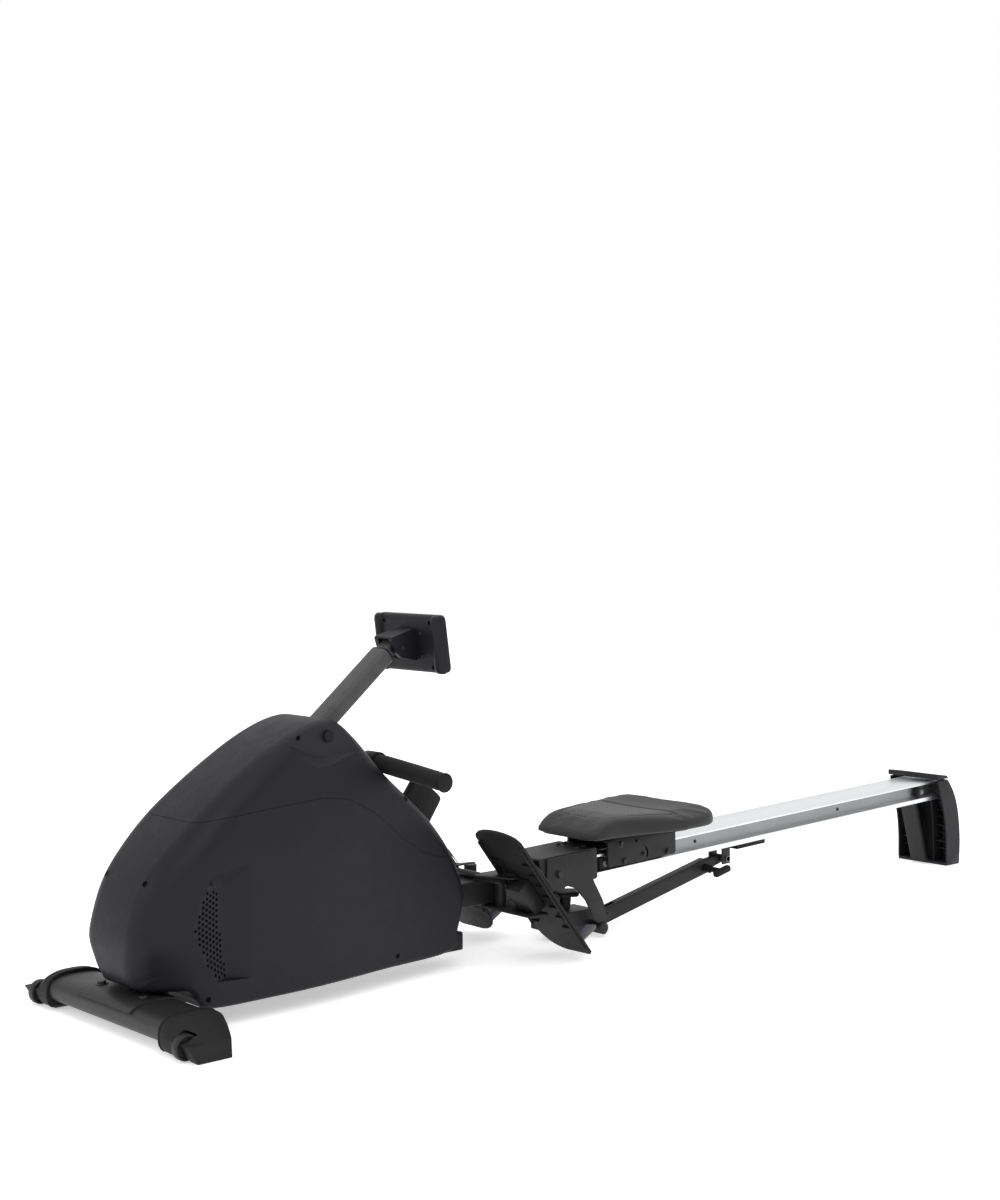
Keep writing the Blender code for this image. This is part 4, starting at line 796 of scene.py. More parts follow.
def build_mast():
    line, lift = mast_axes()
    length = (MAST_HEAD - MAST_FOOT).length
    tube = boolean(mast_tube(0.0, -0.010, length - 0.028), mast_tube(-0.002, -0.02, length - 0.034))
    tail = MAST_HEAD - line * 0.040
    eye = [tail - lift * 0.011, MAST_HEAD - lift * 0.011 + line * 0.004, MAST_HEAD + line * 0.011,
           MAST_HEAD + lift * 0.0095 + line * 0.003, tail + lift * 0.011]
    head = plate(rounded([(p.x, p.z) for p in eye], [0, 0.003, 0.006, 0.003, 0]), -0.014, 0.014)
    plug = loft([[tuple(MAST_FOOT + line * a + lift * (b * s) + Vector((0, w * s, 0)))
                  for w, b in rounded_section(0.0222, 0.0147, 0.0094)]
                 for a, s in ((length - 0.0282, 1.0), (length - 0.0255, 1.0), (length - 0.0235, 0.92))])
    foot = box((0.300, -0.0185, 0.375), (0.340, 0.0185, 0.405), 0.002)
    rod = turned([(0, 0.045), (0.007, 0.045), (0.008, 0.044), (0.008, -0.044), (0.007, -0.045), (0, -0.045)],
                 (0.324, 0, 0.385))
    mesh = merged([painted(tube, MAST_PAINT), painted(head, MAST_PAINT), painted(plug, DARK),
                   painted(foot, PAINT),
                   painted(rod, ZINC)])
    piece("mast_tube", mesh, None, "base", ("console_mast",))
    collar = []
    for along, grow in ((0.036, 0.0012), (0.0405, 0.0030), (0.044, 0.0032), (0.0465, 0.0022),
                        (0.0475, 0.0009)):
        base = MAST_FOOT + line * along
        collar.append([tuple(base + lift * b + Vector((0, a, 0)))
                       for a, b in rounded_section(0.0225 + grow, 0.0150 + grow, 0.0100)])
    piece("mast_collar", loft(collar), DARK, "base")


def build_nozzle():
    body = nozzle_tube(0.039, -0.030, 0.066, top=[(0.052, 0.965), (0.060, 0.955), (0.0635, 0.94),
                                                  (0.0655, 0.90),
                                                 (0.0660, 0.84)])
    side = Vector((NOZZLE_OUT.z, 0.0, -NOZZLE_OUT.x))
    slot = loft([[tuple(NOZZLE_AT + NOZZLE_OUT * along + side * a + Vector((0, b, 0)))
                  for a, b in rounded(rect(-0.020, -0.015, 0.006, 0.015), 0.003)]
                 for along in (-0.05, 0.09)])
    body = boolean(painted(body, DARK), painted(slot, HOLE))
    parts = [body]
    for along, reach, high in ((0.0010, 1.075, 0.0035),):
        ring = nozzle_tube(0.039, along, high, top=[(along + 0.001, reach), (along + high, reach - 0.02),
                                                    (along + high + 0.0008, 1.0)])
        parts.append(painted(boolean(ring, nozzle_tube(0.0389, -0.02, 0.03)), DARK))
    piece("strap_guide", merged(parts), None, "base", ("strap_nozzle",))


# ------------------------------------------------------------------ stabiliser, caps, wheels
def oval(half, low, high, grow=0.0, count=56, power=0.75):
    centre, tall, wide = (low + high) / 2, (high - low) / 2 + grow, half + grow
    ring = []
    for index in range(count):
        a = 2 * math.pi * index / count
        c, s = math.cos(a), math.sin(a)
        ring.append((wide * math.copysign(abs(c) ** power, c), centre + tall
                     * math.copysign(abs(s) ** power, s)))
    return ring


def oval_bar(grow, reach):
    """Solid bar along Y with the stabiliser tube's section, grown outwards."""
    return loft([[(x, y, z) for x, z in oval(0.050, 0.011, 0.056, grow)] for y in (-reach, reach)])


def reach_to(outline, centre, angle):
    """Distance from a centre to a closed outline in one direction."""
    dx, dz = math.cos(angle), math.sin(angle)
    best = 0.0
    for (ax, az), (bx, bz) in zip(outline, outline[1:] + outline[:1]):
        ex, ez = bx - ax, bz - az
        cross = dx * ez - dz * ex
        if abs(cross) < 1e-12:
            continue
        t = ((ax - centre[0]) * ez - (az - centre[1]) * ex) / cross
        s = ((ax - centre[0]) * dz - (az - centre[1]) * dx) / cross
        if t > 0 and -1e-9 <= s <= 1 + 1e-9:
            best = max(best, t)
    return best


CAP_FACE = [(0.0230, 0.0300), (-0.0520, 0.0290), (-0.0345, 0.0008), (0.0243, 0.0008)]


def build_stabiliser():
    ring = oval(0.050, 0.011, 0.056)
    bore = oval(0.050, 0.011, 0.056, -0.0025)
    tube = boolean(loft([[(x, y, z) for x, z in ring] for y in (-0.188, -0.06, 0.06, 0.188)]),
                   loft([[(x, y, z) for x, z in bore] for y in (-0.3, 0.3)]))
    piece("front_tube", tube, TUBE_PAINT, "base", ("front_stabiliser_tube",))
    for name, side in SIDES:
        seam, tip = 0.166, 0.245
        sleeve = oval(0.050, 0.0010, 0.0575, 0.0035)
        sleeve = [(x, max(z, 0.0008)) for x, z in sleeve]
        centre = (-0.0080, 0.0190)
        corners = [math.atan2(z - centre[1], x - centre[0]) for x, z in CAP_FACE]
        angles = sorted([math.pi * 2 * i / 60 - math.pi + 0.01 for i in range(60)] + corners)
        rings = []
        for y in (seam, 0.170, 0.176, 0.184, 0.192, 0.200, 0.207, 0.214, 0.220, 0.226, 0.232, 0.237, 0.241,
                  0.2436,
                  tip):
            t = max(0.0, (y - 0.184) / (tip - 0.184)) ** 1.1
            lift = 0.0075 * max(0.0, 1 - (y - seam) / 0.012)
            ring = []
            for angle in angles:
                far = reach_to(sleeve, centre, angle)
                near = reach_to(CAP_FACE, centre, angle)
                r = far + (near - far) * t
                ring.append((centre[0] + r * math.cos(angle), side * y,
                             max(lift, centre[1] + r * math.sin(angle))))
            rings.append(ring)
        body = painted(loft(rings), CAP)
        socket = oval(0.050, 0.011, 0.056, 0.0003)
        body = boolean(body, painted(loft([[(x, side * y, z) for x, z in socket]
                                           for y in (seam - 0.01, 0.1883)]), DARK))
        wheel_y = side * (tip - 0.029)
        body = boolean(body, painted(rod(0.0235, 0.0095, (-0.038, wheel_y, 0.0215)), DARK))
        bead = []
        for y, grow in ((seam + 0.0005, 0.0002), (seam + 0.001, 0.0011), (seam + 0.0030, 0.0013),
                        (seam + 0.0036, 0.0004)):
            bead.append([(x, side * y, max(z, 0.0058)) for x,
                         z in oval(0.050, 0.0010, 0.0575, 0.0033 + grow)])
        body = merged([body, painted(boolean(loft(bead), loft([[(x, side * y, z) for x, z in
                                                                oval(0.050, 0.0010, 0.0575, 0.0028)]
                                                               for y in (0.15, 0.20)])), CAP)])
        nose = [(-0.085, 0.0305), (-0.0530, 0.0305), (-0.0355, -0.004), (-0.085, -0.004)]
        body = boolean(body, painted(plate(nose, *sorted((side * 0.2255, side * 0.27)), bevel=0), DARK))
        piece("tube_end_" + name, body, None, "base", ("stabiliser_end_cap_" + name,), angle=22)
        radius = 0.0198
        wheel = turned([(0, 0.0062), (0.0045, 0.0062), (0.0048, 0.0044), (0.0155, 0.0044), (0.0160, 0.0068),
                        (radius - 0.0020, 0.0072), (radius - 0.0006, 0.0062), (radius, 0.0042),
                        (radius, -0.0042),
                        (radius - 0.0006, -0.0062), (radius - 0.0020, -0.0072), (0.0160, -0.0068),
                        (0.0155, -0.0044),
                        (0.0048, -0.0044), (0.0045, -0.0062), (0, -0.0062)], (-0.038, wheel_y, 0.0215),
                       steps=48)
        piece("roller_wheel_" + name, wheel, TREAD, "transport_wheel_" + name, ("transport_wheel_" + name,))


def build_beams():
    beam = boolean(painted(box((0.010, -0.030, 0.0975), (0.800, 0.030, 0.1425), 0.003, 3), PAINT),
                   painted(box((0.30, -0.0275, 0.100), (0.90, 0.0275, 0.140), 0.002), DARK))
    post = box((0.0105, -0.0295, 0.0455), (0.052, 0.0295, 0.110), 0.003)
    post = boolean(post, oval_bar(0.0036, 0.2))
    piece("front_beam", merged([beam, painted(post, PAINT)]), None, "base", ("main_beam",))
    pad = boolean(oval_bar(0.0030, 0.080), oval_bar(0.0003, 0.2))
    pad = boolean(pad, box((-0.2, -0.2, -0.1), (0.2, 0.2, 0.0456), 0))
    parts = [painted(pad, TUBE_PAINT)]
    for y in (-0.063, 0.063):
        bolt = hex_head(0.0070, 0.0040, 0.0105)
        parts.append(stood(painted(bolt, BOLT), Vector((-0.0135, y, 0.0588)),
                           Vector((-0.10, 0, 1)).normalized()))
    piece("saddle_plate", merged(parts), None, "base", ("stabiliser_saddle_pad",))

    low = box((0.8765, -0.028, 0.0205), (0.990, 0.028, 0.052), 0.003, 3)
    upright = box((0.876, -0.0285, 0.020), (0.900, 0.0285, 0.0885), 0.003, 3)
    tie = box((0.770, -0.0280, 0.0810), (0.899, 0.0280, 0.0881), 0.0015, 2)
    web = box((0.7705, -0.0275, 0.0815), (0.798, 0.0275, 0.0972), 0.0015, 2)
    bar = turned([(0, 0.059), (0.0085, 0.059), (0.0115, 0.057), (0.0115, -0.057), (0.0085, -0.059),
                  (0, -0.059)],
                 (0.987, 0, 0.018))
    tongue = rounded([(0.980, 0.012), (1.0525, 0.0175), (1.0525, 0.0355), (0.980, 0.026)],
                     [0, 0.0085, 0.0085, 0])
    eye = boolean(plate(tongue, -0.004, 0.004), rod(0.0045, 0.03, (1.043, 0, 0.027)))
    plug = box((0.9895, -0.0265, 0.022), (0.9915, 0.0265, 0.0505), 0.0008)
    piece("rear_beam", merged([painted(m, PAINT) for m in (low, upright, tie, web, bar, eye)]
                              + [painted(plug, DARK)]), None,
          "base", ("base_beam",))


def build_bracket():
    outer = [(0.842, 0.1660), (0.842, 0.126), (0.857, 0.105), (0.880, 0.1035), (0.892, 0.111), (0.918, 0.102),
             (0.944, 0.075), (0.966, 0.036), (0.975, 0.0305), (1.001, 0.0305), (0.988, 0.070), (0.962, 0.113),
             (0.962, 0.1700)]
    radii = [0.003, 0.004, 0.010, 0.004, 0.010, 0.03, 0.05, 0.004, 0.002, 0.002, 0.08, 0.010, 0.003]
    for name, side in SIDES:
        low, high = sorted((side * 0.050, side * 0.054))
        cheek = boolean(plate(rounded(outer, radii, 8), low, high, bevel=0.0007),
                        rod(0.0055, 0.03, (0.872, side * 0.052, 0.135)))
        piece("fold_cheek_" + name, cheek, PAINT, "base", ("rail_bracket_plate_" + name,))
    bolt = []
    shaft = rod(0.0050, 0.0535, (0.872, 0, 0.135))
    bolt.append(painted(shaft, ZINC))
    for side, aim in ((-1, "-Y"), (1, "+Y")):
        bolt.append(fixed(hex_head(0.0082, 0.0050, 0.0098, 0.0010), (0.872, side * 0.0542, 0.135), aim))
    piece("fold_bolt", merged(bolt), None, "base", ("rail_pivot_bolt",))


def build_star():
    rings = []
    for z, grow in ((0.0795, -0.0025), (0.0806, -0.0008), (0.0820, 0.0), (0.0862, 0.0), (0.0876, -0.0008),
                    (0.0884, -0.0028), (0.0885, -0.0090)):
        ring = []
        for index in range(80):
            a = 2 * math.pi * index / 80
            reach = 0.0285 + 0.0035 * math.cos(5 * a) + grow
            ring.append((0.936 + reach * math.cos(a), reach * math.sin(a), z))
        rings.append(ring)
    hub = turned([(0, 0.0800), (0.0140, 0.0800), (0.0140, 0.0700), (0.0122, 0.0535), (0, 0.0527)],
                 (0.936, 0, 0),
                 "Z", 40)
    cap = turned([(0, 0.0898), (0.0080, 0.0896), (0.0096, 0.0884), (0.0096, 0.0870), (0, 0.0870)],
                 (0.936, 0, 0),
                 "Z", 32)
    cap.transform(Matrix.Translation((0, 0, -0.0012)))
    piece("clamp_star", merged([painted(m, DARK) for m in (loft(rings), hub, cap)]), None, "star_knob",
          ("star_knob",))


# ------------------------------------------------------------------ footrest
HEEL = Vector((0.824, 0.0, 0.0235))
TOE = Vector((0.660, 0.0, 0.2290))


def pedal_matrix(side):
    up = (TOE - HEEL).normalized()
    out = Vector((up.z, 0.0, -up.x))
    turn = Matrix((Vector((0, side, 0)), up, out)).transposed().to_4x4()
    return Matrix.Translation((HEEL.x, side * 0.063, HEEL.z)) @ turn


def on_pedal(mesh, side):
    mesh.transform(pedal_matrix(side))
    shape = bmesh.new()
    shape.from_mesh(mesh)
    bmesh.ops.recalc_face_normals(shape, faces=shape.faces)
    shape.to_mesh(mesh)
    shape.free()
    return mesh


PEDAL_WIDTH = 0.115


def build_pedals():
    w = PEDAL_WIDTH
    toe = [(w * (0.5 + 0.5 * math.cos(math.pi * i / 24)), 0.264 + 0.022 * math.sin(math.pi * i / 24))
           for i in range(25)]
    heel = [(w * 0.46 * (1 - math.sin(math.pi / 2 * i / 8)), -0.014 + 0.052
             * (1 - math.cos(math.pi / 2 * i / 8)))
            for i in range(9)]
    outline = [(w - 0.004, -0.014), (w, -0.010)] + toe + list(reversed(heel))
    for name, side in SIDES:
        base = plate(outline, 0.0, 0.005, "XY", 0.0010)
        for across in (0.016, w - 0.016):
            for along in (0.070, 0.162):
                slot = plate(rounded(rect(across - 0.0025, along, across + 0.0025, along + 0.026), 0.002),
                             -0.01, 0.02, "XY", 0)
                base = boolean(base, slot)
        parts = [painted(base, CAP)]
        for index in range(17):
            along = 0.078 + index * 0.0112
            half = 0.036 if along < 0.245 else 0.036 - (along - 0.245) * 0.6
            rib = plate(rounded(rect(w / 2 - half, along, w / 2 + half, along + 0.0035), 0.0015, 3), 0.0048,
                        0.0060, "XY", 0.0004)
            parts.append(painted(rib, CAP))
        for index in range(1, 8):
            a = 0.030 + index * 0.026
            for low in (0.008, w - 0.027):
                parts.append(painted(box((low, a, -0.0045), (low + 0.019, a + 0.0016, 0.0002), 0.0004), CAP))
        for x in (0.0035, w - 0.0035):
            parts.append(painted(box((x - 0.0012, 0.045 if x < 0.05 else 0.004, -0.0050),
                                     (x + 0.0012, 0.256, 0.0002),
                                     0.0005), CAP))
        piece("tread_" + name, on_pedal(merged(parts), side), None, "base", ("footplate_" + name,))

        cup = []
        shoe = rounded(rect(0.024, 0.0, w - 0.024, 0.060), 0.004)
        cup.append(plate(shoe, 0.0053, 0.0083, "XY", 0.0006))
        rings = []
        for index in range(33):
            a = math.pi + math.pi * index / 32
            high = 0.0560 - 0.0045 * (0.5 + 0.5 * math.cos(6 * a)) - 0.020 * (1 - math.sin(math.pi
                                                                                           * index / 32)) ** 2
            lean = 0.0085 * math.sin(math.pi * index / 32)
            spot = [(0.5 * w + (0.0475 + d) * math.cos(a), 0.030 + (0.0385 + d) * math.sin(a))
                    for d in (-0.0015, 0.0015)]
            rings.append([(*spot[0], 0.0063), (*spot[1], 0.0063),
                          (spot[1][0], spot[1][1] - lean, high - 0.0008),
                          ((spot[0][0] + spot[1][0]) / 2, (spot[0][1] + spot[1][1]) / 2 - lean, high),
                          (spot[0][0], spot[0][1] - lean, high - 0.0008)])
        cup.append(loft(rings))
        for x in (0.042, w - 0.042):
            cup.append(plate(rounded(rect(x - 0.004, 0.020, x + 0.004, 0.050),
                                     0.003), 0.0080, 0.0092, "XY", 0.0004))
        piece("heel_stop_" + name, on_pedal(merged([painted(m, CUP) for m in cup]), side), None, "heel_cup_"
              + name,
              ("heel_cup_" + name,))

        count, thick = 40, 0.0015
        rows = []
        for index in range(count + 1):
            t = index / count
            x = w * t
            z = 0.0066 + 0.0196 * math.sin(math.pi * t)
            run = Vector((w, 0.0196 * math.pi * math.cos(math.pi * t), 0)).normalized()
            nx, nz = -run.y, run.x
            rows.append([(x - nx * thick * s, y, z - nz * thick * s + thick) for y, s in
                         ((0.1642, 0.0), (0.1651, -0.10), (0.1849, -0.10), (0.1858, 0.0), (0.1858, 0.9),
                          (0.1849, 1.0),
                          (0.1651, 1.0), (0.1642, 0.9))])
        band = painted(loft(rows), WEB)
        piece("toe_band_" + name, on_pedal(band, side), None, "base", ("foot_strap_" + name,))

    cross = rounded(rect(0.712, -0.150, 0.758, 0.150), 0.006)
    upper = [(0.668, 0.046), (0.754, 0.046), (0.754, 0.052), (0.722, 0.0624), (0.711, 0.0618), (0.711, 0.118),
             (0.699, 0.118)]
    tie = rod(0.0070, 0.090, (0.700, 0, 0.150))
    parts = [plate(cross, 0.0905, 0.0945, "XY", 0.0010), tie]
    for _, side in SIDES:
        parts.append(plate([(x, side * y) for x, y in upper], 0.1560, 0.1590, "XY", 0.0008))
        parts.append(rod(0.0117, 0.0330, (0.7385, side * 0.0422, 0.1245), "Z"))
        parts.append(on_pedal(box((0.036, 0.106, -0.030), (0.076, 0.171, -0.0003), 0.0020), side))
    parts = [painted(m, PAINT) for m in parts]
    for _, side in SIDES:
        parts.append(fixed(hex_head(0.0065, 0.0050, 0.0100), (0.735, side * 0.135, 0.0945), "+Z"))
    piece("foot_carrier", merged(parts), None, "base", ("footrest_frame",))


# ------------------------------------------------------------------ handle and strap
def build_handle():
    x, z = 0.480, 0.372
    droop = 0.014
    rings = []
    count, sides = 48, 36
    for index in range(-count, count + 1):
        t = index / count
        point = Vector((x - 0.007 * t * t, 0.195 * t, z - droop * max(0.0, abs(t) - 0.12) / 0.88))
        swell = 1.0 - 0.035 * ease(abs(t), 0.93, 1.0) + 0.012 * noise.noise(Vector((0, point.y * 22, 3.1)))
        swell -= 0.05 * (1 - ease(abs(t), 0.085, 0.12))
        rings.append([(point.x + 0.0155 * swell * math.cos(2 * math.pi * i / sides), point.y,
                       point.z + 0.0155 * swell * math.sin(2 * math.pi * i / sides)) for i in range(sides)])
    piece("grip_sleeve", loft(rings), FOAM, "handle", ("handle_grip",))
    for name, side in SIDES:
        cap = turned([(0, 0.0020), (0.0120, 0.0022), (0.0160, 0.0008), (0.0164, -0.0014), (0.0160, -0.0025),
                      (0, -0.0025)], axis="Z")
        where = (x - 0.0071, side * 0.1992, z - droop - 0.0003)
        piece("grip_end_" + name, fixed(cap, where, outward(side)), DARK, "handle",
              ("handle_end_cap_" + name,))
    ring = turned([(0.0163, 0.0168), (0.0182, 0.0168), (0.0190, 0.0155), (0.0190, -0.0155), (0.0182, -0.0168),
                   (0.0163, -0.0168), (0.0163, 0.0168)], (x, 0, z), steps=48)
    lug = box((x + 0.0168, -0.0140, z - 0.0100), (x + 0.0260, 0.0140, z + 0.0020), 0.0018, 3)
    parts = [painted(ring, DARK), painted(lug, DARK)]
    for y in (-0.008, 0.008):
        parts.append(fixed(pan_head(0.0035, 0.0016), (x + 0.0215, y, z + 0.0020), "+Z"))
    piece("grip_clamp", merged(parts), None, "handle", ("handle_clamp",))


def build_strap():
    exit_at = NOZZLE_AT + NOZZLE_OUT * 0.074 + Vector((-0.012, 0.0, 0.008))
    lead = Vector((0.480 + 0.0265, 0.0, 0.372 - 0.0055))
    rows = []
    for index in range(25):
        t = index / 24
        point = exit_at.lerp(lead, t)
        rows.append([(point.x, -0.0125, point.z + 0.0003), (point.x, -0.0120, point.z),
                     (point.x, 0.0120, point.z),
                     (point.x, 0.0125, point.z + 0.0003), (point.x, 0.0125, point.z + 0.0013),
                     (point.x, 0.0120, point.z + 0.0017), (point.x, -0.0120, point.z + 0.0017),
                     (point.x, -0.0125, point.z + 0.0013)])
    mesh = loft(rows)
    mesh.transform(TO_ROW)
    made = bpy.data.objects.new("pull_webbing", mesh)
    bpy.context.scene.collection.objects.link(made)
    mesh.materials.append(WEB)
    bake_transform(made)
    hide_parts("pull_strap")


# ------------------------------------------------------------------ console
TILT_AXIS = Vector((0.526, 0.0, 0.568))


def leaned(mesh):
    mesh.transform(Matrix.Translation(TILT_AXIS) @ Matrix.Rotation(math.radians(-7.0), 4, "Y")
                   @ Matrix.Translation(-TILT_AXIS))
    return mesh


def build_console():
    px, pz = TILT_AXIS.x, TILT_AXIS.z
    back, front = px + 0.0330, px + 0.0520
    face = rounded([(-0.089, pz - 0.0490), (0.089, pz - 0.0490), (0.086, pz + 0.0520), (-0.086, pz + 0.0520)],
                   0.010, 8)
    rings = []
    middle_z = pz + 0.001
    for x, pull in ((back, 0.0105), (back + 0.0006, 0.0070), (back + 0.0022, 0.0034), (back + 0.0050, 0.0010),
                    (back + 0.0085, 0.0), (front - 0.0040, 0.0), (front - 0.0014, 0.0006),
                    (front - 0.0003, 0.0018),
                    (front, 0.0035)):
        rings.append([(x, y * (1 - pull / 0.088), middle_z + (z - middle_z) * (1 - pull / 0.050)) for y,
                      z in face])
    body = painted(loft(rings), HOUSING)
    body = boolean(body, painted(box((front - 0.003, -0.062, pz - 0.014), (front + 0.01, 0.062, pz + 0.036),
                                     0.0008),
                                 DARK))
    for index in (-1, 0, 1):
        body = boolean(body, painted(turned(rect(0, 0.02, 0.0086, 0),
                                            (front - 0.008, index * 0.042, pz - 0.031), "X"), DARK))
    parts = [body]
    for side in (-1, 1):
        column = []
        for z, pull in ((pz - 0.0490, 0.35), (pz - 0.0478, 0.62), (pz - 0.0450, 0.88), (pz - 0.0400, 1.0),
                        (pz + 0.0430, 1.0), (pz + 0.0480, 0.88), (pz + 0.0508, 0.62), (pz + 0.0520, 0.35)):
            y0 = side * (0.0775 - 0.0002 * (z - pz + 0.049) / 0.1)
            column.append([(back + 0.0060 - 0.0130 * pull * math.sin(a), y0 + side * 0.0115
                            * (0.6 + 0.4 * pull)
                            * math.cos(a), z) for a in [math.pi * i / 16 for i in range(17)]])
        parts.append(painted(loft(column), HOUSING))
    for y in (-0.062, 0.062):
        for z in (pz - 0.038, pz + 0.040):
            cup = [turned([(0.0050, 0.0004), (0.0042, 0.0007), (0.0036, 0.0003), (0, 0.0003)], axis="Z",
                          steps=24),
                   turned([(0.0033, 0.0006), (0, 0.0007)], axis="Z", steps=20)]
            for item, surface in zip(cup, (HOUSING, HOLE)):
                parts.append(fixed(painted(item, surface), (back + 0.0002, y, z), "-X"))
    for y, z in ((-0.034, pz + 0.020), (-0.034, pz - 0.020), (0.034, pz + 0.020), (0.034, pz - 0.020)):
        parts.append(fixed(pan_head(0.0030, 0.0014), (back + 0.0002, y, z), "-X"))
    lip = [(front + 0.0001, -0.064, pz - 0.016), (front + 0.0010, 0.064, pz + 0.038)]
    frame_ring = boolean(box(lip[0], lip[1], 0.0004), box((front - 0.01, -0.060, pz - 0.0125),
                                                          (front + 0.02, 0.060, pz + 0.0345), 0.0))
    parts.append(painted(frame_ring, DARK))
    piece("display_case", leaned(merged(parts)), None, "console", ("console_body",))

    glass = box((front - 0.0027, -0.0615, pz - 0.0135), (front - 0.0008, 0.0615, pz + 0.0355), 0.0005)
    piece("display_window", leaned(glass), GLASS, "console", ("console_screen",))
    for index, name in enumerate(("left", "middle", "right")):
        key = turned([(0, 0.0033), (0.0055, 0.0032), (0.0074, 0.0024), (0.0080, 0.0010), (0.0080, -0.0026),
                      (0, -0.0026)],
                     axis="Z", steps=36)
        key = fixed(key, (front + 0.0002, (index - 1) * 0.042, pz - 0.031), "+X")
        piece("key_" + name, leaned(key), CAP, "button_" + name, ("console_button_" + name,))

    hood = [(px - 0.022, pz + 0.019), (px - 0.020, pz + 0.022), (back - 0.0003, pz + 0.030),
            (back - 0.0003, pz - 0.028),
            (px - 0.004, pz - 0.017), (px - 0.017, pz - 0.004)]
    shape = plate(rounded(hood, 0.005, 6), -0.0245, 0.0245, bevel=0.0030, segments=4)
    shape = boolean(painted(shape, HOUSING), painted(box((px - 0.06, -0.0152, pz - 0.06),
                                                         (px + 0.0200, 0.0152, pz + 0.0190),
                                                         0.001), DARK))
    parts = [shape]
    for side, aim in ((-1, "-Y"), (1, "+Y")):
        parts.append(fixed(painted(turned([(0.0085, 0), (0.0085, 0.0008), (0.0062, 0.0010), (0, 0.0010)],
                                          axis="Z",
                                          steps=32), DARK), (px, side * 0.0243, pz), aim))
        parts.append(fixed(hex_head(0.0046, 0.0020, surface=BOLT), (px, side * 0.0252, pz), aim))
        parts.append(painted(rod(0.0055, 0.005, (px, side * 0.0200, pz)), DARK))
    piece("display_mount", leaned(merged(parts)), None, "console", ("console_bracket",))


# ------------------------------------------------------------------ rail, carriage, rollers, stops
STOPS = (0.133, 1.150)
ROLLERS = (0.172, 0.292)


def on_rail(mesh):
    mesh.transform(RAIL)
    return mesh


def build_rail():
    w, top, low = 0.045, 0.0187, -0.0255
    half = [(0.0, top), (w - 0.0012, top), (w - 0.0003, top - 0.0004), (w, top - 0.0012), (w, top - 0.0050),
            (w - 0.0006, top - 0.0056), (0.0322, top - 0.0068), (0.0305, top - 0.0074),
            (0.0300, top - 0.0090),
            (0.0300, low + 0.0138), (0.0306, low + 0.0124), (0.0325, low + 0.0117),
            (w - 0.0006, low + 0.0101),
            (w, low + 0.0095), (w, low + 0.0014), (w - 0.0012, low), (0.0064, low), (0.0060, low + 0.0004),
            (0.0060, low + 0.0030), (0.0110, low + 0.0030), (0.0110, low + 0.0075), (0.0, low + 0.0075)]
    outline = half + [(-y, z) for y, z in reversed(half[1:-1])]
    bar = plate(outline, 0.060, 1.214, "YZ", 0.0)
    bar = boolean(painted(bar, RAIL_ALU), painted(box((0.05, -0.026, low + 0.0120),
                                                      (1.22, 0.026, top - 0.0035), 0.0),
                                                  RAIL_ALU))
    for along in STOPS:
        bar = boolean(bar, painted(rod(0.0034, 0.1, (along, 0, -0.0020)), RAIL_ALU))
    # The sideways faces of the channel get the darker copy of the same aluminium: painted shade on the rail's
    # flanks.
    bar.materials.append(RAIL_SHADED_SIDE)
    for polygon in bar.polygons:
        height = polygon.center.z
        faces_sideways = abs(polygon.normal.z) < 0.85 and abs(polygon.normal.x) < 0.5
        if faces_sideways and low + 0.0100 < height < top - 0.0052:
            polygon.material_index = len(bar.materials) - 1
    parts = [bar]
    for along in (0.40, 0.86):
        for side in (-1, 1):
            parts.append(fixed(pan_head(0.0036, 0.0018, surface=BOLT), (along, side * 0.0300, -0.002),
                               outward(side)))
    piece("rail_bar", on_rail(merged(parts)), None, "rail", ("rail_extrusion",), angle=24)

    for name, along in zip(("front", "rear"), STOPS):
        parts = [painted(rod(0.0030, 0.045, (along, 0, -0.0020)),
                         ZINC)]
        for side in (-1, 1):
            inner, outer = sorted((side * 0.0303, side * 0.0430))
            parts.append(painted(box((along - 0.015, inner, -0.0115), (along + 0.007, outer, 0.0075), 0.0016,
                                     3),
                                 RUBBER))
            parts.append(fixed(hex_head(0.0050, 0.0020, 0.0064, 0.0008, surface=ZINC),
                               (along, side * 0.0430, -0.0020),
                               outward(side)))
        piece("bumper_" + name, on_rail(merged(parts)), None, "rail", ("rail_stop_" + name,))

    side_view = rounded([(-0.046, 0.0340), (-0.034, -0.0235), (0.104, -0.0255), (0.104, 0.0340)], 0.004, 6)
    fork = plate(side_view, -0.0495, 0.0495, bevel=0.0014, segments=3)
    fork = boolean(painted(fork, PAINT), painted(box((-0.10, -0.0465, -0.04), (0.12, 0.0465, 0.0305), 0.0),
                                                 PAINT))
    fork = boolean(fork, painted(turned(rect(0, 0.1, 0.0055, -0.1)), PAINT))
    parts = [fork, painted(box((0.066, -0.0470, 0.0190), (0.100, 0.0470, 0.0310), 0.001), PAINT)]
    for y in (-0.026, 0.026):
        for x in (0.076, 0.094):
            parts.append(fixed(pan_head(0.0045, 0.0022), (x, y, 0.0340), "+Z"))
    piece("hinge_fork", on_rail(merged(parts)), None, "rail", ("rail_hinge_adapter",))

    block = box((0.540, -0.0200, -0.0420), (0.629, 0.0200, -0.0258), 0.0018, 3)
    parts = [painted(block, DARK)]
    for x in (0.560, 0.608):
        parts.append(fixed(pan_head(0.0040, 0.0012), (x, 0, -0.0420), "-Z"))
    piece("shoe_stop", on_rail(merged(parts)), None, "rail", ("shoe_stop_block",))


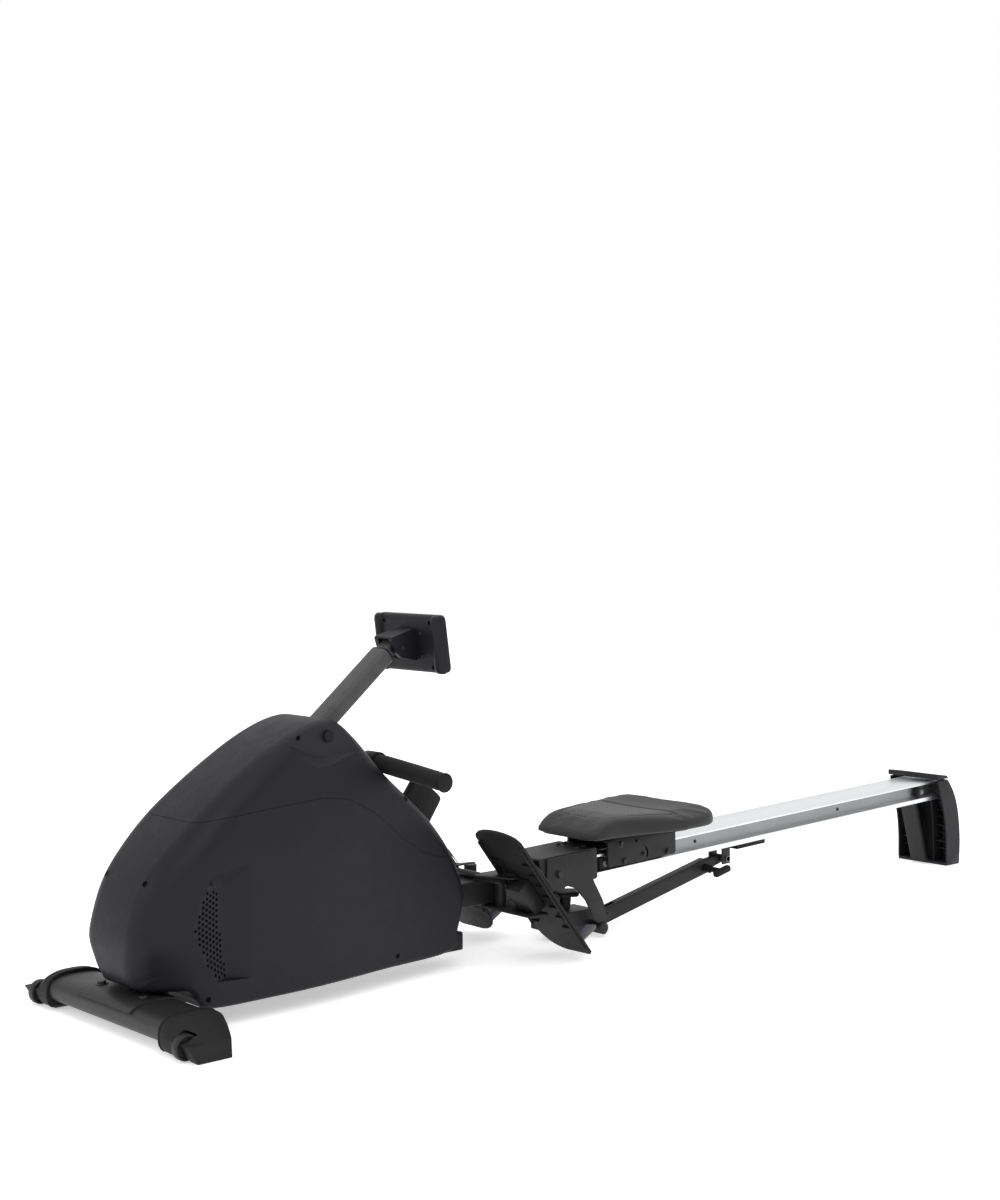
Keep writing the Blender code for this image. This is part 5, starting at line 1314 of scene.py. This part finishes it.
def build_carriage():
    outer, top, low = 0.0555, 0.0430, -0.0090
    section = [(-outer, low), (-outer, top - 0.0060), (-outer + 0.0018, top - 0.0018), (-outer + 0.0060, top),
               (outer - 0.0060, top), (outer - 0.0018, top - 0.0018), (outer, top - 0.0060), (outer, low),
               (outer - 0.004, low), (outer - 0.004, top - 0.0070), (outer - 0.0070, top - 0.0040),
               (-outer + 0.0070, top - 0.0040), (-outer + 0.004, top - 0.0070), (-outer + 0.004, low)]
    body = painted(plate(section, 0.128, 0.316, "YZ", 0.0005), PAINT)
    for side in (-1, 1):
        a, b = sorted((side * 0.040, side * 0.070))
        body = boolean(body, painted(plate([(0.118, -0.02), (0.139, -0.02), (0.118, 0.012)], a, b, bevel=0),
                                     PAINT))
        body = boolean(body, painted(plate([(0.326, -0.02), (0.305, -0.02), (0.326, 0.012)], a, b, bevel=0),
                                     PAINT))
        for along in ROLLERS:
            body = boolean(body, painted(rod(0.0043, 0.02, (along, side * 0.0535, -0.0024)), PAINT))
        arc = [(0.222 + 0.016 * math.cos(a), 0.004 + 0.016 * math.sin(a)) for a in
               [math.radians(-35 + 110 * i / 10) for i in range(11)]]
        arc += [(0.222 + 0.012 * math.cos(a), 0.004 + 0.012 * math.sin(a)) for a in
                [math.radians(75 - 110 * i / 10) for i in range(11)]]
        a, b = sorted((side * 0.045, side * 0.060))
        body = boolean(body, painted(plate(arc, a, b, bevel=0), HOLE))
    parts = [body, painted(box((0.110, -0.0525, 0.0270), (0.296, 0.0525, 0.0300), 0.0008), PAINT)]
    for side in (-1, 1):
        aim = outward(side)
        for x, z, radius, washer in ((0.163, 0.0325, 0.0055, 0.0080), (0.207, 0.0310, 0.0032, 0.0046),
                                     (0.224, 0.0035, 0.0038, 0.0058)):
            parts.append(fixed(hex_head(radius, 0.0032, washer, 0.0008), (x, side * outer, z), aim))
    piece("seat_carriage", on_rail(merged(parts)), None, "seat", ("carriage_frame",))

    for end, along in zip(("front", "rear"), ROLLERS):
        for name, side in SIDES:
            wheel = turned([(0, 0.0055), (0.0050, 0.0055), (0.0054, 0.0050), (0.0088, 0.0050),
                            (0.0094, 0.0055),
                            (0.0104, 0.0054), (0.0110, 0.0046), (0.0110, -0.0046), (0.0104, -0.0054),
                            (0.0094, -0.0055),
                            (0.0088, -0.0050), (0.0054, -0.0050), (0.0050, -0.0055), (0, -0.0055)],
                           (along, side * 0.0390, -0.0024), steps=40)
            stub = rod(0.0040, 0.0080, (along, side * 0.0500, -0.0024))
            head = fixed(hex_head(0.0060, 0.0034, 0.0065, 0.0006, surface=BOLT),
                         (along, side * 0.0560, -0.0024),
                         outward(side))
            piece("channel_roller_%s_%s" % (end, name),
                  on_rail(merged([painted(wheel, DARK), painted(stub, ZINC), head])),
                  None, "roller_%s_%s" % (end, name), ("seat_roller_%s_%s" % (end, name),))


# ------------------------------------------------------------------ seat
SEAT = [(0.939, 0.080, 0.1985, 0.0), (0.943, 0.084, 0.2045, 0.0), (0.958, 0.088, 0.2165, 0.0),
        (0.977, 0.091, 0.2265, 0.0), (1.002, 0.096, 0.2310, 0.001), (1.038, 0.108, 0.2325, 0.003),
        (1.080, 0.127, 0.2335, 0.005), (1.120, 0.141, 0.2345, 0.007), (1.160, 0.146, 0.2365, 0.008),
        (1.194, 0.143, 0.2390, 0.006), (1.217, 0.130, 0.2390, 0.002), (1.228, 0.108, 0.2320, 0.0)]


def seat_skin_material():
    """Soft moulded foam: leather-like pebble on the rim; the woven insert where the rider sits has its own
    material.
    """
    made, tree, shader = principled("seat_skin", (0.016, 0.016, 0.0165), 0.66, 0.0, 0.25)
    vector = coords(tree)
    pebble = tree.nodes.new("ShaderNodeTexVoronoi")
    pebble.inputs["Scale"].default_value = 420.0
    tree.links.new(vector, pebble.inputs["Vector"])
    slow = ramp(tree, grain(tree, vector, 12.0, 4.0), 0.3, 0.7, 0, 1)
    tree.links.new(tint(tree, slow, (0.013, 0.013, 0.0135), (0.019, 0.019, 0.0195)),
                   shader.inputs["Base Color"])
    first = bump(tree, shader, pebble.outputs["Distance"], 0.30, 0.0004)
    bump(tree, shader, grain(tree, vector, 1500.0, 2.0), 0.25, 0.00012, first)
    shader.inputs["Sheen Weight"].default_value = 0.12
    return made


def seat_insert_material():
    made, tree, shader = principled("seat_insert", (0.018, 0.018, 0.019), 0.72, 0.0, 0.25)
    dots = tree.nodes.new("ShaderNodeTexVoronoi")
    dots.inputs["Scale"].default_value = 125.0
    dots.inputs["Randomness"].default_value = 0.0
    tree.links.new(coords(tree, (1, 1, 0.02), (0, 0, math.radians(45))), dots.inputs["Vector"])
    # Colour darker in the pressed dimples and lighter on the ridges between them, following the bump: painted
    # shade in the dimples.
    tree.links.new(tint(tree, dots.outputs["Distance"], (0.004, 0.004, 0.0045), (0.045, 0.045, 0.047)),
                   shader.inputs["Base Color"])
    bump(tree, shader, dots.outputs["Distance"], 0.8, 0.0012)
    shader.inputs["Sheen Weight"].default_value = 0.15
    return made


def seat_at(x):
    stations = [SEAT[0]] + SEAT + [SEAT[-1]]
    for index in range(1, len(stations) - 2):
        a, b, c, d = stations[index - 1:index + 3]
        if b[0] <= x <= c[0]:
            t = (x - b[0]) / max(1e-9, c[0] - b[0])
            result = []
            for k in range(1, 4):
                va, vb, vc, vd = a[k], b[k], c[k], d[k]
                value = 0.5 * (2 * vb + (vc - va) * t + (2 * va - 5 * vb + 4 * vc - vd) * t * t
                               + (3 * vb - va - 3 * vc + vd) * t ** 3)
                result.append(min(max(value, min(vb, vc) - 0.002), max(vb, vc) + 0.0008))
            return result
    return list(SEAT[-1][1:])


def insert_groove(x, y):
    """Signed distance-like value: 0 on the sewn groove, negative inside the insert."""
    reach = 0.060 + 0.048 * min(1.2, max(0.0, (x - 0.980) / 0.140))
    return max(abs(y) / reach - 1, (x - 1.128) / 0.10, (0.986 - x) / 0.10)


def build_seat():
    stations = []
    rows = 58
    for index in range(rows + 1):
        t = index / rows
        x = 0.939 + (1.228 - 0.939) * (t * t * (3 - 2 * t) * 0.55 + t * 0.45)
        stations.append(x)
    rings = []
    count = 64
    for x in stations:
        half, top, dish = seat_at(x)
        low = 0.1845 + 0.0354 * (x - 0.872)
        square = 0.24 + 0.21 * ease(x, 0.985, 1.130)
        ring = []
        for index in range(count + 1):
            u = math.sin(math.pi / 2 * (1 - 2 * index / count))
            s = math.sqrt(max(0.0, 1 - abs(u) ** (2 / square)))
            z = low + 0.010 + (top - low - 0.010) * s ** (square + 0.05) - dish * (1 - u * u)
            ring.append((x, half * u, z))
        for index in range(1, 16):
            u = -math.cos(math.pi * index / 16)
            s = math.sqrt(max(0.0, 1 - abs(u) ** (2 / square)))
            ring.append((x, half * u, low + 0.010 - 0.010 * s ** 0.5))
        rings.append(ring)
    start = 0.0018
    mesh = loft(rings)
    mesh = inflated(mesh, start, 0.006)
    mesh = seat_details(mesh)
    skin = seat_skin_material()
    insert = seat_insert_material()
    mesh.materials.clear()
    mesh.materials.append(skin)
    mesh.materials.append(insert)
    for polygon in mesh.polygons:
        centre = polygon.center
        value = insert_groove(centre.x, centre.y)
        polygon.material_index = 1 if value < -0.020 and polygon.normal.z > 0.6 else 0
    made = piece("seat_cushion", mesh, None, "seat", ("seat_pad",), angle=60)

    pan = rounded([(0.128, -0.070), (0.318, -0.100), (0.318, 0.100), (0.128, 0.070)], 0.015, 8)
    base = plate(pan, 0.0433, 0.0490, "XY", 0.0012)
    parts = [painted(base, DARK)]
    piece("seat_base", on_rail(merged(parts)), None, "seat", ("seat_pan",))


def inflated(mesh, shrink, cap):
    """Cloth pressure over a remeshed copy that starts a little smaller; movement is capped."""
    shape = bmesh.new()
    shape.from_mesh(mesh)
    bmesh.ops.recalc_face_normals(shape, faces=shape.faces)
    shape.normal_update()
    for vert, normal in [(v, v.normal.copy()) for v in shape.verts]:
        vert.co -= normal * shrink
    shape.to_mesh(mesh)
    shape.free()
    body = bpy.data.objects.new("seat_sim", mesh)
    bpy.context.scene.collection.objects.link(body)
    remesh = body.modifiers.new("voxels", "REMESH")
    remesh.mode = "VOXEL"
    remesh.voxel_size = 0.0045
    bpy.context.view_layer.update()
    dense = bpy.data.meshes.new_from_object(body.evaluated_get(bpy.context.evaluated_depsgraph_get()))
    bpy.data.objects.remove(body)
    smooth = bmesh.new()
    smooth.from_mesh(dense)
    for _ in range(3):
        bmesh.ops.smooth_vert(smooth, verts=smooth.verts, factor=0.5, use_axis_x=True, use_axis_y=True,
                              use_axis_z=True)
    smooth.to_mesh(dense)
    smooth.free()
    rest = [v.co.copy() for v in dense.vertices]
    body = bpy.data.objects.new("seat_sim", dense)
    bpy.context.scene.collection.objects.link(body)
    pinned = body.vertex_groups.new(name="hold")
    for vert in dense.vertices:
        if vert.co.z < 0.1845 + 0.0354 * (vert.co.x - 0.872) + 0.010:
            pinned.add([vert.index], 1.0, "REPLACE")
    cloth = body.modifiers.new("cloth", "CLOTH")
    cloth.settings.quality = 5
    cloth.settings.mass = 0.4
    cloth.settings.tension_stiffness = 40
    cloth.settings.compression_stiffness = 40
    cloth.settings.bending_stiffness = 8
    cloth.settings.use_pressure = True
    cloth.settings.uniform_pressure_force = 4.0
    cloth.settings.effector_weights.gravity = 0.0
    cloth.settings.vertex_group_mass = "hold"
    cloth.point_cache.frame_start = 1
    cloth.point_cache.frame_end = 20
    for step in range(1, 21):
        bpy.context.scene.frame_set(step)
    moved = bpy.data.meshes.new_from_object(body.evaluated_get(bpy.context.evaluated_depsgraph_get()))
    bpy.context.scene.frame_set(1)
    bpy.data.objects.remove(body)
    for vert, was in zip(moved.vertices, rest):
        shift = vert.co - was
        if shift.length > cap:
            shift *= cap / shift.length
        vert.co = was + shift * 0.5
    shape = bmesh.new()
    shape.from_mesh(moved)
    for _ in range(2):
        bmesh.ops.smooth_vert(shape, verts=shape.verts, factor=0.4, use_axis_x=True, use_axis_y=True,
                              use_axis_z=True)
    shape.to_mesh(moved)
    shape.free()
    return moved


def seat_details(mesh):
    """Subdivide the top and press the insert's groove and rim into it."""
    shape = bmesh.new()
    shape.from_mesh(mesh)
    shape.normal_update()
    picked = [f for f in shape.faces if f.normal.z > 0.35]
    edges = list({e for f in picked for e in f.edges})
    bmesh.ops.subdivide_edges(shape, edges=edges, cuts=1, use_grid_fill=True)
    shape.normal_update()
    for vert in shape.verts:
        if vert.normal.z < 0.5:
            continue
        value = insert_groove(vert.co.x, vert.co.y)
        groove = math.exp(-(value / 0.028) ** 2)
        fade = ease(vert.co.x, 0.976, 0.990)
        vert.co.z -= (0.0024 * groove + 0.0010 * (1 - ease(value, -0.06, 0.0))) * fade * ease(vert.normal.z,
                                                                                              0.5, 0.8)
    bmesh.ops.recalc_face_normals(shape, faces=shape.faces)
    made = bpy.data.meshes.new("seat")
    shape.to_mesh(made)
    shape.free()
    return made


# ------------------------------------------------------------------ rear foot
def build_rear_foot():
    front = [(2.089, 0.0), (2.087, 0.070), (2.077, 0.125), (2.052, 0.1985)]
    rear = [(2.090, 0.1985), (2.118, 0.158), (2.133, 0.110), (2.139, 0.055), (2.137, 0.0)]
    profile = curve_through(front, 5, False) + curve_through(rear, 5, False)
    shell = painted(plate(profile, -0.067, 0.067, bevel=0.0022, segments=3), FOOT)
    hollow = [(2.040, 0.006), (2.040, 0.22), (2.079, 0.22)] + curve_through([(2.112, 0.156), (2.128, 0.109),
                                                                            (2.134, 0.055), (2.132, 0.006)],
                                                                            4, False)
    shell = boolean(shell, painted(plate(hollow, -0.0635, 0.0635, bevel=0.0), FOOT))
    parts = [shell]
    for height in (0.034, 0.052, 0.070, 0.088, 0.106, 0.124, 0.142):
        deep = 0.0 if height in (0.052, 0.088, 0.124) else 0.008
        for side in (-1, 1):
            low, high = sorted((side * 0.026, side * 0.0645))
            parts.append(painted(box((2.100 + deep, low, height),
                                     (2.126 - 0.10 * (height - 0.05), high, height + 0.0022),
                                     0.0004), FOOT))
    for side in (-1, 1):
        parts.append(painted(plate([(2.094, 0.006), (2.092, 0.080), (2.084, 0.150), (2.100, 0.165),
                                    (2.127, 0.110),
                                    (2.132, 0.006)], *sorted((side * 0.0250, side * 0.0275)), bevel=0.0004),
                             FOOT))
    piece("rear_stand", merged(parts), None, "rail", ("rear_foot_shell",))
    lid = rounded([(2.048, 0.2010), (2.092, 0.2010), (2.084, 0.2082), (2.048, 0.2125)],
                  [0.001, 0.001, 0.004, 0.001], 6)
    piece("rear_lid", plate(lid, -0.0675, 0.0675, bevel=0.0012, segments=3), FOOT, "rail", ("rear_foot_cap",))
    leg = [(2.026, 0.1485), (2.037, 0.1488), (2.083, 0.0065), (2.072, 0.0065)]
    piece("rear_support", plate(leg, -0.020, 0.020, bevel=0.0016, segments=3), PAINT, "rail", ("rear_leg",))


# ------------------------------------------------------------------ strut
def on_strut(mesh):
    mesh.transform(STRUT)
    return mesh


def build_strut():
    tube = boolean(box((-0.016, -0.0103, -0.015), (0.297, 0.0103, 0.015), 0.0028, 4),
                   box((-0.03, -0.0083, -0.0128), (0.285, 0.0083, 0.0128), 0.0015))
    tube = boolean(tube, box((-0.03, -0.0046, 0.0), (0.030, 0.0046, 0.03), 0.0))
    tube = boolean(tube, rod(0.0042, 0.01, (0.287, -0.0103, -0.002)))
    reach = math.hypot(0.0705, 0.337)
    head = [(0.292, -0.011), (reach, -0.0085), (reach + 0.008, 0.0), (reach, 0.0085), (0.292, 0.011)]
    tongue = plate(rounded(head, [0, 0.006, 0.005, 0.006, 0], 6), -0.0065, 0.0065)
    bolt = turned(rect(0, 0.015, 0.0040, -0.015))
    parts = [painted(m, PAINT) for m in (tube, tongue)] + [painted(bolt, BOLT)]
    for side, aim in ((-1, "-Y"), (1, "+Y")):
        parts.append(fixed(hex_head(0.0065, 0.0035, 0.0090, 0.0010), (0, side * 0.0104, 0), aim))
    piece("stay_tube", on_strut(merged(parts)), None, "strut", ("strut_tube",))

    along, down = 0.287, -0.002
    pin = turned([(0, 0.0325), (0.0032, 0.0325), (0.0035, 0.0317), (0.0035, 0.0085), (0, 0.0085)], axis="Z",
                 steps=24)
    collar = turned([(0, 0.0260), (0.0078, 0.0260), (0.0085, 0.0252), (0.0085, 0.0118), (0.0078, 0.0110),
                     (0, 0.0110)], axis="Z", steps=36)
    neck = turned(rect(0, 0.0520, 0.0055, 0.0240), axis="Z", steps=28)
    for item in (collar, neck):
        item.transform(Matrix.Translation((along, 0, down)) @ Matrix.Rotation(math.pi / 2, 4, "X"))
    pin = rod(0.0035, 0.0120, (along, -0.0205, down))
    ring = []
    for y, pull in ((-0.062, 0.0022), (-0.0612, 0.0008), (-0.0595, 0.0), (-0.0525, 0.0), (-0.0508, 0.0008),
                    (-0.050, 0.0022)):
        outline = rounded(rect(along - 0.022 + pull, down - 0.0065 + pull, along + 0.022 - pull, down
                               + 0.0065 - pull),
                          0.0038, 6)
        ring.append([(x, y, z) for x, z in outline])
    parts = [painted(pin, ZINC), painted(collar, DARK), painted(neck, DARK), painted(loft(ring), DARK)]
    piece("pull_pin", on_strut(merged(parts)), None, "strut_pull_knob", ("strut_pull_knob",))

    place_u = (RAIL.inverted() @ Vector((1.380, 0, 0.0975)))
    along, down, top = place_u.x, place_u.z, -0.0258
    shoe = boolean(box((along - 0.012, -0.0200, down - 0.011), (along + 0.012, 0.0200, top), 0.0016, 3),
                   box((along - 0.02, -0.0165, down - 0.02), (along + 0.02, 0.0165, top - 0.0035), 0.0))
    slot = -0.0225
    parts = [shoe, box((along - 0.052, -0.0195, top - 0.0032), (along, 0.0195, top - 0.0001), 0.0008),
             box((along - 0.010, -0.0055, top - 0.002), (along + 0.010, 0.0055, slot + 0.0006), 0.0003),
             box((along - 0.010, -0.0100, slot + 0.0003), (along + 0.010, 0.0100, slot + 0.0038), 0.0003)]
    parts = [painted(m, TUBE_PAINT) for m in parts]
    for side, aim in ((-1, "-Y"), (1, "+Y")):
        parts.append(painted(rod(0.0062, 0.0080, (along, side * 0.0165, down)), ZINC))
        parts.append(fixed(hex_head(0.0062, 0.0040), (along, side * 0.0205, down), aim))
    piece("stay_shoe", on_rail(merged(parts)), None, "strut_shoe", ("strut_shoe",))


# ------------------------------------------------------------------ carried-over drive parts
def refinish():
    for node, surface in (("axle_frame", ZINC), ("flywheel", IRON), ("drive_drum", DARK),
                          ("drive_belt", RUBBER),
                          ("return_spring_case", DARK), ("magnet_arm", ZINC)):
        made = bpy.data.objects[node]
        for index in range(max(1, len(made.material_slots))):
            if not made.material_slots:
                made.data.materials.append(surface)
            made.material_slots[index].link = "OBJECT"
            made.material_slots[index].material = surface


set_stage()
build_housing()
build_mast()
build_nozzle()
build_stabiliser()
build_beams()
build_bracket()
build_star()
build_pedals()
build_handle()
build_strap()
build_console()
build_rail()
build_carriage()
build_seat()
build_rear_foot()
build_strut()
refinish()
